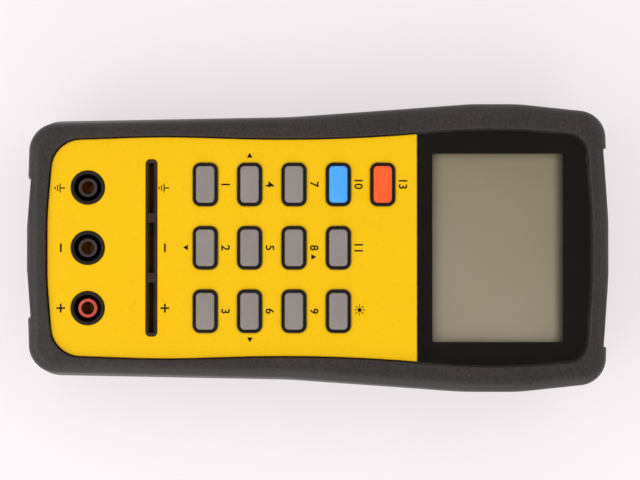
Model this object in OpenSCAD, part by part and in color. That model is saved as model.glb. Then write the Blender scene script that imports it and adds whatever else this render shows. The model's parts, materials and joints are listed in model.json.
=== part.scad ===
// Hand-held component tester. Two case halves carry soft bumpers, and a face tilted up
// towards the display holds thirteen keys, a component slot and three 4 mm sockets.
// A tilt stand and a battery door close the back.
// +X is the tester's right, +Y points to the display end and Z is the thickness.
// The origin is the middle of the back, which lies on Z = 0.

/* [Body] */
// Overall length, tail end to display end
body_l = 188; // [182:1:196]
// Overall width at the widest station
body_w = 95; // [93:0.5:99]
// Overall thickness at the display end
body_t = 52; // [50:0.5:55]
// Width at the tail corners
tail_w = 82.6; // [81:0.2:84]
// Width at the waist
waist_w = 86.5; // [85:0.5:88]
// Width at the head corners
head_w = 88.8; // [88:0.2:93]
// Radius of the tail corners
tail_r = 10.8; // [10:0.1:14]
// Radius of the head corners
head_r = 10.6; // [8.5:0.1:11]
// Height of the seam between the case halves
seam_z = 24; // [23:0.5:25]
// Tilt of the face up towards the display end, in degrees
face_tilt = 3; // [2.5:0.25:3.5]
// Height of the border's crest over the face
crest_h = 1.5; // [1.2:0.1:2]

/* [Shells] */
// Thickness of the soft bumpers
bumper_t = 2; // [1.6:0.1:2.2]
// Thickness of the case wall at the seam
wall_t = 4; // [3.6:0.1:4.2]
// Thickness of the front case under the face panel
top_t = 2; // [1.8:0.1:2.4]
// Thickness of the back wall
back_t = 2.2; // [1.8:0.1:2.6]
// Step from the resting ring up to the back panel
back_step = 1; // [0.6:0.1:1.2]

/* [Face] */
// Thickness of the face panel
panel_t = 1.2; // [1:0.1:1.5]
// Width of the face panel at the tail corners
panel_tail_w = 67.8; // [67:0.2:69]
// Width of the face panel beside the slot
panel_w = 70.2; // [68:0.2:71]
// Width of the face panel at its waist
panel_waist_w = 68.3; // [67:0.1:69]
// Width of the display window
window_w = 74.3; // [74:0.1:77]
// Length of the display window
window_l = 54.8; // [53:0.2:56]
// Width of the visible display
display_w = 59.5; // [57:0.5:60]
// Length of the visible display
display_l = 41.2; // [41:0.2:43]
// Gap between the border and the panel
panel_gap = 0.45; // [0.3:0.05:0.6]

/* [Keys] */
// Width of a key across the tester
key_w = 11.6; // [11:0.1:13]
// Length of a key along the tester
key_l = 5.8; // [5:0.1:6.5]
// Key spacing across the tester
key_pitch_x = 20; // [19.5:0.25:20.5]
// Key spacing along the tester
key_pitch_y = 14; // [13.5:0.1:14.2]
// Height of a key over the face
key_h = 1.3; // [1:0.1:1.6]
// Travel of a key
key_travel = 0.8; // [0.5:0.1:1]
// Width of the raised rim around a key
key_rim = 0.85; // [0.7:0.05:1]

/* [Sockets and slot] */
// Spacing of the sockets
socket_pitch = 19.05; // [18.5:0.05:20]
// Bore of a socket contact
socket_bore = 4; // [3.9:0.05:4.1]
// Outer diameter of a socket shroud
socket_d = 10.6; // [10:0.1:11]
// Depth of a socket bore
socket_depth = 15; // [13:0.5:16]
// Length of the slot block across the tester
slot_w = 55.7; // [54:0.1:57]
// Width of the slot block
slot_l = 3.4; // [3.4:0.1:4.2]
// Length of one slit
slit_w = 15.8; // [14:0.1:16]
// Width of one slit
slit_l = 0.9; // [0.7:0.1:1.2]

/* [Back] */
// Width of the tilt stand
stand_w = 52; // [48:0.5:54]
// Length of the tilt stand from its hinge
stand_l = 76; // [70:1:78]
// Diameter of the stand's hinge pins
stand_pin_d = 3; // [2.6:0.1:3.2]
// Width of the 9 V battery
battery_w = 26.5; // [25.5:0.1:26.5]
// Length of the 9 V battery
battery_l = 48.5; // [46:0.1:48.5]
// Thickness of the 9 V battery
battery_t = 17.5; // [16.5:0.1:17.5]
// Thickness of the battery door
door_t = 2.4; // [2:0.1:2.8]

/* [Hidden] */
$fn = 48;

GREY_KEY = "#8f8b8c";
// key node, column and row counted from the middle column and the row nearest the slot
KEYS = [
  ["key_power", -1, 4, "#fb5e33"],
  ["key_auto", -1, 3, "#4da9fb"],
  ["key_frequency", 0, 3, GREY_KEY],
  ["key_backlight", 1, 3, GREY_KEY],
  ["key_sorting", -1, 2, GREY_KEY],
  ["key_link", 0, 2, GREY_KEY],
  ["key_calibrate", 1, 2, GREY_KEY],
  ["key_parameter", -1, 1, GREY_KEY],
  ["key_setup", 0, 1, GREY_KEY],
  ["key_series_parallel", 1, 1, GREY_KEY],
  ["key_enter", -1, 0, GREY_KEY],
  ["key_relative", 0, 0, GREY_KEY],
  ["key_hold", 1, 0, GREY_KEY]
];
last_key_row = 4;
// prefix and column of each socket and slit, and the colour of the socket's sleeve
TERMINALS = [["guard", -1, "#1d1b1b"], ["low", 0, "#1d1b1b"], ["high", 1, "#e0584f"]];

// clearances: bonded shells, stacked flat pieces, sliding pieces, running bores
bond = 0.05;
fit = 0.1;
slide_gap = 0.15;
run_gap = 0.05;
// room past the end of a screw
screw_end_gap = 0.5;
// reach of a cut past the surface that it opens
over = 1;
eps = 0.01;

// outline of the widest level
half_l = body_l / 2;
end_flat = 10;
end_r = 100;
tail_crown = 1;
head_crown = 1.2;
waist_y = -8.5;
waist_r = 120;
wide_head_gap = 30.3;
wide_l = 15.3;
wide_y1 = half_l - wide_head_gap;
wide_y0 = wide_y1 - wide_l;
wide_r = 60;
outline = symmetric([
  [end_flat, -half_l, end_r, 2],
  [tail_w / 2, tail_crown - half_l, tail_r, 8],
  [waist_w / 2, waist_y, waist_r, 3],
  [body_w / 2, wide_y0, wide_r, 2],
  [body_w / 2, wide_y1, wide_r, 2],
  [head_w / 2, half_l - head_crown, head_r, 8],
  [end_flat, half_l, end_r, 2]
]);

// shallow recesses at both ends, from near the middle out to the corner bumpers
recess_x = 7;
recess_tail_x = 22.4;
recess_tail_d = 1.2;
recess_head_x = 31.3;
recess_head_d = 2;

// shoulders: the walls lean in by the draft, then round over to the face or the back
front_draft = 1.8;
front_round_w = 4;
front_round_h = 5;
rear_draft = 1.5;
rear_round_w = 4.5;
rear_round_h = 7;
round_steps = 4;
crest_inset = front_draft + front_round_w;
shell_inset = bumper_t + wall_t;

// the face frame: origin over the middle of the back, on the panel's top surface
face_z = body_t - crest_h / cos(face_tilt) - (half_l - crest_inset) * tan(face_tilt);
seat_h = -panel_t;
ceiling_h = seat_h - top_t;
glass_t = 2;
light_t = 3.2;
holder_floor_t = 0.3;
glass_top_h = ceiling_h - fit;
light_top_h = glass_top_h - glass_t - fit;
board_top_h = light_top_h - light_t - fit - holder_floor_t;
board_t = 1.6;
board_low_h = board_top_h - board_t;

// panel and window outline in the face frame
panel_tail_gap = 8.55;
window_head_gap = 7.85;
panel_v0 = panel_tail_gap - half_l;
panel_v1 = half_l - window_head_gap;
panel_crown = 1.9;
panel_r = 7;
panel_bulge_l = 36.8;
panel_bulge_r = 300;
panel_waist_v = 4.1;
panel_waist_r = 500;
panel_waist_sag = 0.65;
window_bulge_gap = 31.8;
window_bulge_r = 215;
window_sag = 0.8;
window_head_w = window_w - 3.6;
window_crown = 1.8;
window_r = 4.8;
panel_shape = symmetric([
  [end_flat, panel_v0, end_r, 2],
  [panel_tail_w / 2, panel_v0 + panel_crown, panel_r, 8],
  [panel_w / 2, panel_v0 + panel_bulge_l, panel_bulge_r, 2],
  [panel_waist_w / 2 - panel_waist_sag, panel_waist_v, panel_waist_r, 4],
  [window_w / 2 + window_sag, panel_v1 - window_bulge_gap, window_bulge_r, 4],
  [window_head_w / 2, panel_v1 - window_crown, window_r, 8],
  [end_flat, panel_v1, end_r, 2]
]);
window_v = panel_v1 - window_l;
window_split = 0.15;
mask_t = 0.2;

// display: visible area, glass, light guide and the contact strips at its two long edges
display_tail_gap = 4.9;
display_v = window_v + display_tail_gap + display_l / 2;
display_open_gap = 0.75;
glass_margin = 1.8;
glass_w = display_w + 2 * glass_margin;
glass_l = display_l + 2 * glass_margin;
holder_t = 1.2;
strip_t = 1;
strip_edge = 0.1;
strip_end_gap = 0.5;
light_w = glass_w - 2.5;
light_l = glass_l - 2 * (strip_t + strip_edge + 0.6);
strip_v = glass_l / 2 - strip_t / 2 - strip_edge;

// keys
key_r = 1.3;
key_open_w = key_w + 2 * slide_gap;
key_open_l = key_l + 2 * slide_gap;
rim_w = key_open_w + 2 * key_rim;
rim_l = key_open_l + 2 * key_rim;
rim_r = key_r + slide_gap + key_rim;
rim_h = 0.7;
flange_t = 1;
flange_top_h = ceiling_h - slide_gap;
flange_low_h = flange_top_h - flange_t;
plug_w = key_w - 3;
plug_l = key_l - 2;
plug_r = 0.8;
plug_low_h = board_top_h + key_travel + fit;
mat_t = 1;
mat_edge = 1;
skirt_t = 1.1;
skirt_h = 2.2;
mat_hole_gap = 0.6;

// sockets, slot and keys share out the length that is spare between tail and window
spare_l = window_v - panel_v0 - socket_d - slot_l - last_key_row * key_pitch_y - rim_l;
tail_share = 0.1921;
slot_share = 0.3367;
key_share = 0.2932;
socket_v = panel_v0 + tail_share * spare_l + socket_d / 2;
slot_v = socket_v + socket_d / 2 + slot_share * spare_l + slot_l / 2;
key_row_v = slot_v + slot_l / 2 + key_share * spare_l + rim_l / 2;

// sockets: shroud, sleeve and contact
socket_r = socket_d / 2;
socket_top_h = 0.4;
socket_floor_t = 1.5;
socket_flange_w = 1.1;
socket_flange_t = 1.2;
well_r = 4.25;
contact_t = 0.5;
contact_r = socket_bore / 2 + contact_t;
contact_top_h = -0.6;
contact_floor_t = 1;
contact_low_h = contact_top_h - socket_depth - contact_floor_t;
contact_collar_w = 0.8;
contact_collar_t = 0.6;
sleeve_r = 3;
sleeve_top_h = -0.3;

// slot: body, pockets behind the slits and spring blades
slot_top_h = 0.3;
slot_r = 1.3;
slot_rib = 3.1;
slit_pitch = slit_w + slot_rib;
slit_lead_in = 1;
slit_lip = 0.7;
slot_foot_w = slot_w + 3;
slot_foot_l = 9.4;
slot_pocket_l = 3.2;
slot_pocket_gap = 0.2;
slot_pocket_top_h = ceiling_h - 1;
blade_t = 0.35;
blade_gap = 0.5;
blade_w = slit_w - 0.8;
blade_top_h = slot_pocket_top_h - 0.4;
blade_foot_t = 0.4;
slot_pin_x = blade_w / 3;
slot_pin_w = 1.2;
slot_pin_l = 0.8;
slot_pin_gap = 0.2;

// board and its screws
board_gap = 0.8;
board_w = min(tail_w, waist_w) - 2 * shell_inset - 2 * board_gap;
board_r = 3;
board_v0 = 12 - half_l;
board_v1 = half_l - 11;
board_screw_r = 1.2;
board_screw_head_r = 2.2;
board_screw_head_t = 1.6;
board_screw_top_h = ceiling_h - 0.6;
board_boss_r = 2.8;
board_screw_edge = 3;
board_screw_tail_gap = 30;
board_screw_window_gap = 7;
board_screw_u = board_w / 2 - board_screw_edge;
board_screws_at = [[board_screw_u, board_screw_tail_gap - half_l],
                   [board_screw_u, window_v - board_screw_window_gap]];

// case screws, each through a rear boss into a front boss
case_screws_at = [[30, 12 - half_l], [36, half_l - 11]];
screw_r = 1.45;
screw_head_r = 2.7;
screw_head_t = 2.2;
screw_seat_z = 14;
screw_l = 20;
screw_head_gap = 0.3;
front_boss_r = 3.4;
rear_boss_r = 4.2;
boss_gap = 1.2;
screw_hole_gap = 0.25;
screw_slot_w = 0.7;

// supply jack in the right-hand wall
jack_head_gap = 54;
jack_v = half_l - jack_head_gap;
jack_side_u = (waist_w + (body_w - waist_w) * (jack_v - waist_y) / (wide_y0 - waist_y)) / 2;
jack_h = board_low_h - 6;
jack_body_u = jack_side_u - shell_inset - 3.4;
jack_body_w = 9;
jack_body_l = 13.5;
jack_body_low = 5;
jack_nose_u = jack_side_u - 3.7;
jack_nose_r = 4;
jack_bore_r = 2.85;
jack_bore_l = 9.5;
jack_pin_r = 1.05;

// integrated circuits under the board: place, width, length and thickness
CHIPS = [[0, 38, 14, 14, 1.6], [-22, 40, 8, 6, 1.6],
         [jack_body_u - jack_body_l - 4, jack_v + 6, 7.5, 10, 2.2],
         [-8, -22, 10, 10, 1.6], [8, -20, 5, 4, 1.6], [8, -28, 5, 4, 1.6],
         [-22, -8, 10, 4, 1.6], [18, -2, 5, 4, 1.6], [-20, 62, 5, 4, 1.6]];
// round capacitors [place, radius, height], square chokes [place, side, height] and a crystal
CANS = [[24, 66, 3.15, 5.4], [16, 66, 3.15, 5.4], [-22, 24, 4, 7], [28, -8, 3.15, 5.4]];
CHOKES = [[-26, -22, 7, 4], [25, jack_v - 8, 6, 3]];
crystal_at = [-4, 54, 0];
crystal_w = 11;
crystal_l = 4.6;
crystal_t = 3.6;
// shield over the input stage
can_v = -24;
can_w = 36;
can_l = 24;
can_t = 5;
can_sheet = 0.3;
buzzer_at = [-22, 8, 0];
buzzer_r = 6;
buzzer_t = 7.5;
buzzer_hole_r = 1;

// infrared link window in the head wall
link_w = 16;
link_t = 7;
link_r = 1;
link_flange_w = 1.2;
link_flange_t = 1;
link_front_y = half_l - 1.1;
link_wall_y = half_l - shell_inset;
link_led_h = board_low_h - 6.4;
link_z = face_z + (half_l - 10) * sin(face_tilt) + link_led_h;
led_v = half_l - 15;
led_x = 4;
led_r = 1.5;
led_l = 4.6;
led_leg_x = 0.8;
led_leg_w = 0.5;

// back panel and the battery compartment
back_z = back_step;
panel_back_w = 66;
panel_back_r = 6;
panel_back_tail_gap = 17.5;
panel_back_head_gap = 17;
panel_back_y0 = panel_back_tail_gap - half_l;
panel_back_y1 = half_l - panel_back_head_gap;
bay_tail_gap = 24.5;
bay_gap = 0.5;
bay_wall = 1.6;
bay_r = 1;
foam_t = 1;
foam_margin = 4;
snap_t = 5;
snap_gap = 0.3;
snap_r = 2;
lead_room = 2.7;
bay_w = bay_gap + battery_l + snap_gap + snap_t + lead_room;
bay_l = battery_w + 2 * bay_gap;
bay_y = bay_tail_gap + bay_l / 2 - half_l;
door_in_z = back_z + door_t;
battery_z = door_in_z + 0.3;
battery_r = 2;
bay_top_z = battery_z + battery_t + foam_t + 2 * fit;
battery_x0 = bay_gap - bay_w / 2;
battery_x1 = battery_x0 + battery_l;
stud_l = 2.9;
stud_pitch = 12.7;
stud_r = 2.9;
door_ledge = 2;
door_tongue = 6.5;
door_r = 2;
door_w = bay_w + 2 * door_ledge;
door_y0 = bay_y - bay_l / 2 - door_ledge;
door_y1 = bay_y + bay_l / 2 + door_tongue;
door_mid_y = (door_y0 + door_y1) / 2;
door_rib_h = 2;
door_rib_t = 1.2;
door_rib_gap = 0.3;
grip_pitch = 3;
grip_w = 20;
grip_d = 0.5;
door_screw_y = door_y1 - 3.2;
door_screw_l = 8;
door_head_t = 1.5;
door_boss_r = 3.2;

// tilt stand, hinged so that its free end stays clear of the battery door
finger_r = 8;
finger_w = 18;
finger_d = 3;
finger_gap = 2.5;
stand_gap = finger_r + finger_gap + 1;
stand_hinge_y = door_y1 + stand_gap + stand_l;
stand_t = 3.2;
stand_r = 5;
stand_knuckle_r = stand_pin_d / 2 + 0.8;
stand_low_z = back_z + 0.2;
stand_hinge_z = stand_low_z + stand_knuckle_r + 0.1;
stand_pin_l = 3;
stand_side_gap = 0.3;
stand_hinge_gap = 0.7;
stand_rib = 5;
stand_recess_d = 1.4;
stand_recess_gap = 9;
pocket_top_z = stand_hinge_z + stand_knuckle_r + 0.4;
pocket_wall = 1.8;

// battery leads
lead_r = 0.65;
lead_sides = 8;
lead_offset = 4;
notch_w = 2.4;
notch_l = 12;

function unit(v) = v / norm(v);
function xy(v) = [v[0], v[1]];
function turned(v, a) = [v[0] * cos(a) - v[1] * sin(a), v[0] * sin(a) + v[1] * cos(a)];
function mirrored(v) = [-v[0], v[1], v[2], v[3]];

// a closed outline from its right half, listed from the tail to the head
function symmetric(half) = concat(half, [for (i = [len(half) - 1:-1:0]) mirrored(half[i])]);

// points of the arc that rounds corner b between a and c
function fillet(a, b, c, r, steps) =
  let (
    back = unit(a - b),
    ahead = unit(c - b),
    half = acos(back * ahead) / 2,
    centre = b + unit(back + ahead) * r / sin(half),
    start = b + back * r / tan(half) - centre,
    side = cross(b - a, c - b) > 0 ? 1 : -1
  )
  [for (k = [0:steps]) centre + turned(start, side * (180 - 2 * half) * k / steps)];

// how far corner b moves, per unit of inset, when its two edges move inwards
function inward(a, b, c) =
  let (sum = unit(turned(b - a, 90)) + unit(turned(c - b, 90)))
  2 * sum / (sum * sum);

// the points of a shape of [x, y, corner radius, steps] corners, moved inwards by inset
function ring(shape, inset) =
  let (
    n = len(shape),
    flat = [for (s = shape) xy(s)],
    moved = [for (i = [0:n - 1])
      flat[i] + inset * inward(flat[(i + n - 1) % n], flat[i], flat[(i + 1) % n])],
    side = [for (i = [0:n - 1])
      sign(cross(flat[i] - flat[(i + n - 1) % n], flat[(i + 1) % n] - flat[i]))]
  )
  [for (i = [0:n - 1])
    each fillet(moved[(i + n - 1) % n], moved[i], moved[(i + 1) % n],
                max(0.4, shape[i][2] - inset * side[i]), shape[i][3])];

// corners of a rectangle with round corners
function oblong(w, l, r) =
  [[w / 2, -l / 2, r, 4], [w / 2, l / 2, r, 4], [-w / 2, l / 2, r, 4], [-w / 2, -l / 2, r, 4]];

// height of a level over the middle of the back, for a height over the face
function face_level(h) = face_z + h / cos(face_tilt);

// levels [inset, height, share of the face's slope] of one half, moved in and away from
// the outer surface by the two distances
function front_levels(inset, drop) =
  concat(
    [[inset, seam_z, 0]],
    [for (k = [0:round_steps])
      let (turn = 90 * k / round_steps)
      [inset + front_draft + front_round_w * (1 - cos(turn)),
       face_level(crest_h - drop - front_round_h * (1 - sin(turn))),
       1]]
  );
function rear_levels(inset, drop) =
  concat(
    [for (k = [round_steps:-1:0])
      let (turn = 90 * k / round_steps)
      [inset + rear_draft + rear_round_w * (1 - cos(turn)),
       drop + rear_round_h * (1 - sin(turn)),
       0]],
    [[inset, seam_z, 0]]
  );

// a solid through rings of equally many points, lowest first
module skin(rings) {
  n = len(rings[0]);
  top = len(rings) - 1;
  polyhedron(
    points = [for (points = rings) each points],
    faces = concat(
      [[for (i = [0:n - 1]) i]],
      [for (k = [0:top - 1], i = [0:n - 1])
        let (low = k * n, high = low + n, next = (i + 1) % n)
        each [[low + i, high + i, high + next], [low + i, high + next, low + next]]],
      [[for (i = [n - 1:-1:0]) top * n + i]]
    )
  );
}

// a solid through the outline's rings at the given levels
module loft(levels) {
  skin([for (level = levels)
    [for (p = ring(outline, level[0]))
      [p[0], p[1], level[1] + level[2] * p[1] * tan(face_tilt)]]]);
}

module on_face() {
  translate([0, 0, face_z])
    rotate([face_tilt, 0, 0])
      children();
}

// a prism of the shape between two heights
module prism(shape, z0, z1, inset = 0) {
  translate([0, 0, z0])
    linear_extrude(z1 - z0)
      polygon(ring(shape, inset));
}

// a rectangular block between two corners
module block(a, b) {
  translate(a)
    cube(b - a);
}

module rod(r, z0, z1) {
  translate([0, 0, z0])
    cylinder(r = r, h = z1 - z0);
}

module both_sides(points) {
  for (p = points, s = [-1, 1])
    translate([s * p[0], p[1], 0])
      children();
}

function key_place(key) = [key[1] * key_pitch_x, key_row_v + key[2] * key_pitch_y, 0];

module at_keys() {
  for (key = KEYS)
    translate(key_place(key))
      children();
}

module at_sockets() {
  for (t = TERMINALS)
    translate([t[1] * socket_pitch, socket_v, 0])
      children();
}

// one shallow recess at the tail, deepest at x1, that leans in with its wall; the shoulder is
// the level where the wall begins to round
module end_recess(x1, depth, shoulder_z) {
  lead_out = 0.5;
  levels = [
    [-over, rear_draft * (seam_z + over) / (seam_z - rear_round_h)],
    [seam_z, 0],
    [body_t + over, front_draft * (body_t + over - seam_z) / (shoulder_z - seam_z)]
  ];
  skin([for (level = levels)
    [for (p = [[recess_x, -over], [x1 + lead_out, -over], [x1, depth + level[1]],
               [recess_x, level[1]]])
      [p[0], p[1] - half_l, level[0]]]]);
}

// the recesses between the corner bumpers at both ends
module end_recesses() {
  shoulder_z = face_level(crest_h - front_round_h);
  rise = half_l * tan(face_tilt);
  for (s = [0, 1])
    mirror([s, 0, 0]) {
      end_recess(recess_tail_x, recess_tail_d, shoulder_z - rise);
      mirror([0, 1, 0])
        end_recess(recess_head_x, recess_head_d, shoulder_z + rise);
    }
}

// openings that the side jack and the head window share through bumper and case
module wall_openings(gap) {
  on_face()
    translate([0, jack_v, jack_h])
      rotate([0, 90, 0])
        rod(jack_nose_r + gap, jack_body_u, jack_side_u + over);
  translate([0, 0, link_z])
    rotate([-90, 0, 0])
      prism(oblong(link_w + 2 * gap, link_t + 2 * gap, link_r), link_wall_y - over, half_l + over);
}

// everything inside one half's walls
module front_room() {
  intersection() {
    prism(outline, seam_z - over, body_t, shell_inset);
    on_face()
      block([-body_w, -body_l, -body_t], [body_w, body_l, ceiling_h]);
  }
}

module key_rims() {
  at_keys()
    prism(oblong(rim_w, rim_l, rim_r), seat_h - eps, rim_h);
}

module front_case() {
  color("#2f2d2d")
    difference() {
      union() {
        difference() {
          loft(front_levels(bumper_t + bond, crest_h + bond));
          on_face()
            prism(panel_shape, seat_h, crest_h + over, -panel_gap);
          front_room();
        }
        on_face() {
          key_rims();
          both_sides(board_screws_at)
            rod(board_boss_r, board_top_h, ceiling_h + eps);
        }
        intersection() {
          both_sides(case_screws_at)
            rod(front_boss_r, seam_z, body_t);
          on_face()
            block([-body_w, -body_l, -body_t], [body_w, body_l, ceiling_h + eps]);
        }
      }
      on_face() {
        at_keys()
          prism(oblong(key_open_w, key_open_l, key_r + slide_gap), ceiling_h - over, rim_h + over);
        translate([0, display_v, 0])
          prism(oblong(display_w + 2 * display_open_gap, display_l + 2 * display_open_gap, 1),
                ceiling_h - over, 0);
        translate([0, slot_v, 0])
          prism(oblong(slot_w + 2 * slide_gap, slot_l + 2 * slide_gap, slot_r + slide_gap),
                ceiling_h - over, 0);
        at_sockets()
          rod(socket_r + fit, ceiling_h - over, 0);
        both_sides(board_screws_at)
          rod(board_screw_r + run_gap, board_top_h - over, board_screw_top_h + slide_gap);
      }
      both_sides(case_screws_at)
        rod(screw_r + run_gap, seam_z - over, screw_seat_z + screw_l + screw_end_gap);
      wall_openings(slide_gap);
    }
}

module rear_case() {
  color("#2f2d2d")
    difference() {
      union() {
        difference() {
          union() {
            loft(rear_levels(bumper_t + bond, bumper_t + bond));
            back_panel_form(back_z, bumper_t + back_t / 2, 0);
          }
          prism(outline, bumper_t + back_t, seam_z + over, shell_inset);
        }
        intersection() {
          loft(rear_levels(bumper_t + bond, bumper_t + bond));
          both_sides(case_screws_at)
            rod(rear_boss_r, bumper_t, seam_z);
        }
        stand_pocket_walls();
        translate([0, bay_y, 0])
          prism(oblong(bay_w + 2 * bay_wall, bay_l + 2 * bay_wall, bay_r + bay_wall),
                bumper_t + eps, bay_top_z + bay_wall);
        translate([0, door_screw_y, 0])
          rod(door_boss_r, bumper_t + eps, door_in_z + door_screw_l + 2 * screw_end_gap);
      }
      stand_pocket();
      translate([0, bay_y, 0])
        prism(oblong(bay_w, bay_l, bay_r), -over, bay_top_z);
      translate([0, door_mid_y, 0])
        prism(oblong(door_w + 2 * slide_gap, door_y1 - door_y0 + 2 * slide_gap,
                     door_r + slide_gap),
              -over, door_in_z + fit);
      translate([0, door_screw_y, 0])
        rod(screw_r + run_gap, 0, door_in_z + door_screw_l + screw_end_gap);
      lead_notch();
      both_sides(case_screws_at) {
        rod(screw_r + screw_hole_gap, 0, seam_z + over);
        rod(screw_head_r + screw_head_gap, -over, screw_seat_z);
      }
    }
}

module back_panel_form(z0, z1, gap) {
  translate([0, (panel_back_y0 + panel_back_y1) / 2, 0])
    prism(oblong(panel_back_w, panel_back_y1 - panel_back_y0, panel_back_r), z0, z1, -gap);
}

module stand_pocket_walls() {
  half_w = stand_w / 2 + stand_side_gap;
  ear_l = 4;
  free_y = stand_hinge_y - stand_l;
  block([-half_w - pocket_wall, free_y - 1 - pocket_wall, bumper_t + eps],
        [half_w + pocket_wall, stand_hinge_y + stand_knuckle_r + stand_hinge_gap + pocket_wall,
         pocket_top_z + pocket_wall]);
  for (s = [0, 1])
    mirror([s, 0, 0])
      block([half_w, stand_hinge_y - ear_l, bumper_t + eps],
            [half_w + stand_pin_l + 1.5, stand_hinge_y + ear_l, pocket_top_z + pocket_wall]);
  block([-finger_w / 2 - pocket_wall, free_y - finger_gap - finger_r, bumper_t + eps],
        [finger_w / 2 + pocket_wall, free_y, back_z + finger_d + pocket_wall]);
}

module stand_pocket() {
  half_w = stand_w / 2 + stand_side_gap;
  free_y = stand_hinge_y - stand_l;
  hole_half = half_w + stand_pin_l + stand_side_gap;
  block([-half_w, free_y - stand_side_gap, -over],
        [half_w, stand_hinge_y + stand_knuckle_r + stand_hinge_gap, pocket_top_z]);
  translate([0, stand_hinge_y, stand_hinge_z])
    rotate([0, 90, 0])
      rod(stand_pin_d / 2 + run_gap, -hole_half, hole_half);
  // finger scallop at the stand's free end
  translate([0, free_y - finger_gap, back_z + finger_d - finger_r])
    rotate([0, 90, 0])
      rod(finger_r, -finger_w / 2, finger_w / 2);
}

module lead_notch() {
  block([bay_w / 2 - notch_w, bay_y - notch_l / 2, bay_top_z - over],
        [bay_w / 2, bay_y + notch_l / 2, bay_top_z + bay_wall + over]);
}

module front_bumper() {
  color("#423936")
    difference() {
      loft(front_levels(0, 0));
      loft(concat([[bumper_t, seam_z - over, 0]], front_levels(bumper_t, crest_h)));
      on_face()
        prism(panel_shape, -body_t / 4, crest_h + over, -panel_gap);
      end_recesses();
      wall_openings(1);
    }
}

module rear_bumper() {
  color("#423936")
    difference() {
      loft(rear_levels(0, 0));
      loft(concat(rear_levels(bumper_t, bumper_t), [[bumper_t, seam_z + over, 0]]));
      back_panel_form(-over, bumper_t + over, fit);
      both_sides(case_screws_at)
        rod(screw_head_r + 2 * screw_head_gap, -over, bumper_t + over);
      end_recesses();
    }
}

module face_panel() {
  color("#f8c31a")
    on_face()
      difference() {
        intersection() {
          prism(panel_shape, seat_h, 0);
          block([-body_w, -body_l, seat_h - over], [body_w, window_v - window_split / 2, over]);
        }
        at_keys()
          prism(oblong(rim_w, rim_l, rim_r), seat_h - over, over, -bond);
        translate([0, slot_v, 0])
          prism(oblong(slot_w + 2 * slide_gap, slot_l + 2 * slide_gap, slot_r + slide_gap),
                seat_h - over, over);
        at_sockets()
          rod(socket_r + fit, seat_h - over, over);
      }
}

module window_plate(h0, h1) {
  intersection() {
    prism(panel_shape, h0, h1);
    block([-body_w, window_v + window_split / 2, h0 - over], [body_w, body_l, h1 + over]);
  }
}

module display_lens() {
  color("#c9d2cf", 0.35)
    on_face()
      window_plate(seat_h + mask_t, 0);
}

module lens_mask() {
  color("#141212")
    on_face()
      difference() {
        window_plate(seat_h, seat_h + mask_t);
        translate([0, display_v, 0])
          prism(oblong(display_w, display_l, 0.6), seat_h - over, over);
      }
}

module lcd_glass() {
  color("#8f9579")
    on_face()
      translate([0, display_v, 0])
        prism(oblong(glass_w, glass_l, 0.5), glass_top_h - glass_t, glass_top_h);
}

module lcd_backlight() {
  color("#e8e6da")
    on_face()
      translate([0, display_v, 0])
        prism(oblong(light_w, light_l, 0.5), light_top_h - light_t, light_top_h);
}

module lcd_holder() {
  color("#d9d6cf")
    on_face()
      translate([0, display_v, 0])
        difference() {
          prism(oblong(glass_w + 2 * fit + 2 * holder_t, glass_l + 2 * fit + 2 * holder_t, 1),
                board_top_h, glass_top_h);
          prism(oblong(glass_w + 2 * fit, glass_l + 2 * fit, 0.5),
                board_top_h + holder_floor_t, glass_top_h + over);
          for (s = [-1, 1])
            translate([0, s * strip_v, 0])
              block([-light_w / 2, -strip_t / 2 - strip_edge, board_top_h - over],
                    [light_w / 2, strip_t / 2 + strip_edge, board_top_h + over]);
        }
}

module zebra_strips() {
  color("#3a3a3c")
    on_face()
      for (s = [-1, 1])
        translate([0, display_v + s * strip_v, 0])
          block([strip_end_gap - light_w / 2, -strip_t / 2, board_top_h],
                [light_w / 2 - strip_end_gap, strip_t / 2, glass_top_h - glass_t]);
}

module key(place, shade) {
  color(shade)
    on_face()
      translate(place) {
        prism(oblong(key_w, key_l, key_r), flange_top_h - eps, key_h);
        prism(oblong(rim_w, rim_l, key_r), flange_low_h, flange_top_h);
        prism(oblong(plug_w, plug_l, plug_r), plug_low_h, flange_low_h + eps);
      }
}

module key_mat() {
  hole_w = plug_w + 2 * mat_hole_gap;
  hole_l = plug_l + 2 * mat_hole_gap;
  skirt_r = plug_r + 0.2;
  mat_w = 2 * key_pitch_x + rim_w + 2 * mat_edge;
  mat_l = last_key_row * key_pitch_y + rim_l + 2 * mat_edge;
  color("#c8c8c4")
    on_face()
      difference() {
        union() {
          translate([0, key_row_v + last_key_row * key_pitch_y / 2 - mat_edge, 0])
            prism(oblong(mat_w, mat_l, 2), board_top_h, board_top_h + mat_t);
          at_keys()
            prism(oblong(hole_w + 2 * skirt_t, hole_l + 2 * skirt_t, skirt_r),
                  board_top_h + mat_t - eps, board_top_h + skirt_h);
        }
        at_keys()
          prism(oblong(hole_w, hole_l, skirt_r), board_top_h - over, board_top_h + skirt_h + over);
      }
}

module main_board() {
  color("#2d6a3f")
    on_face()
      difference() {
        translate([0, (board_v0 + board_v1) / 2, 0])
          prism(oblong(board_w, board_v1 - board_v0, board_r), board_low_h, board_top_h);
        at_sockets()
          rod(contact_r + run_gap, board_low_h - over, board_top_h + over);
        both_sides(board_screws_at)
          rod(board_screw_r + slide_gap, board_low_h - over, board_top_h + over);
        both_sides(case_screws_at)
          rod(front_boss_r + boss_gap, board_low_h - over, board_top_h + over);
        for (t = TERMINALS, s = [-1, 1])
          translate([t[1] * slit_pitch + s * slot_pin_x, slot_v, 0])
            slot_pin(slot_pin_gap, board_low_h - over, board_top_h + over);
      }
}

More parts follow.
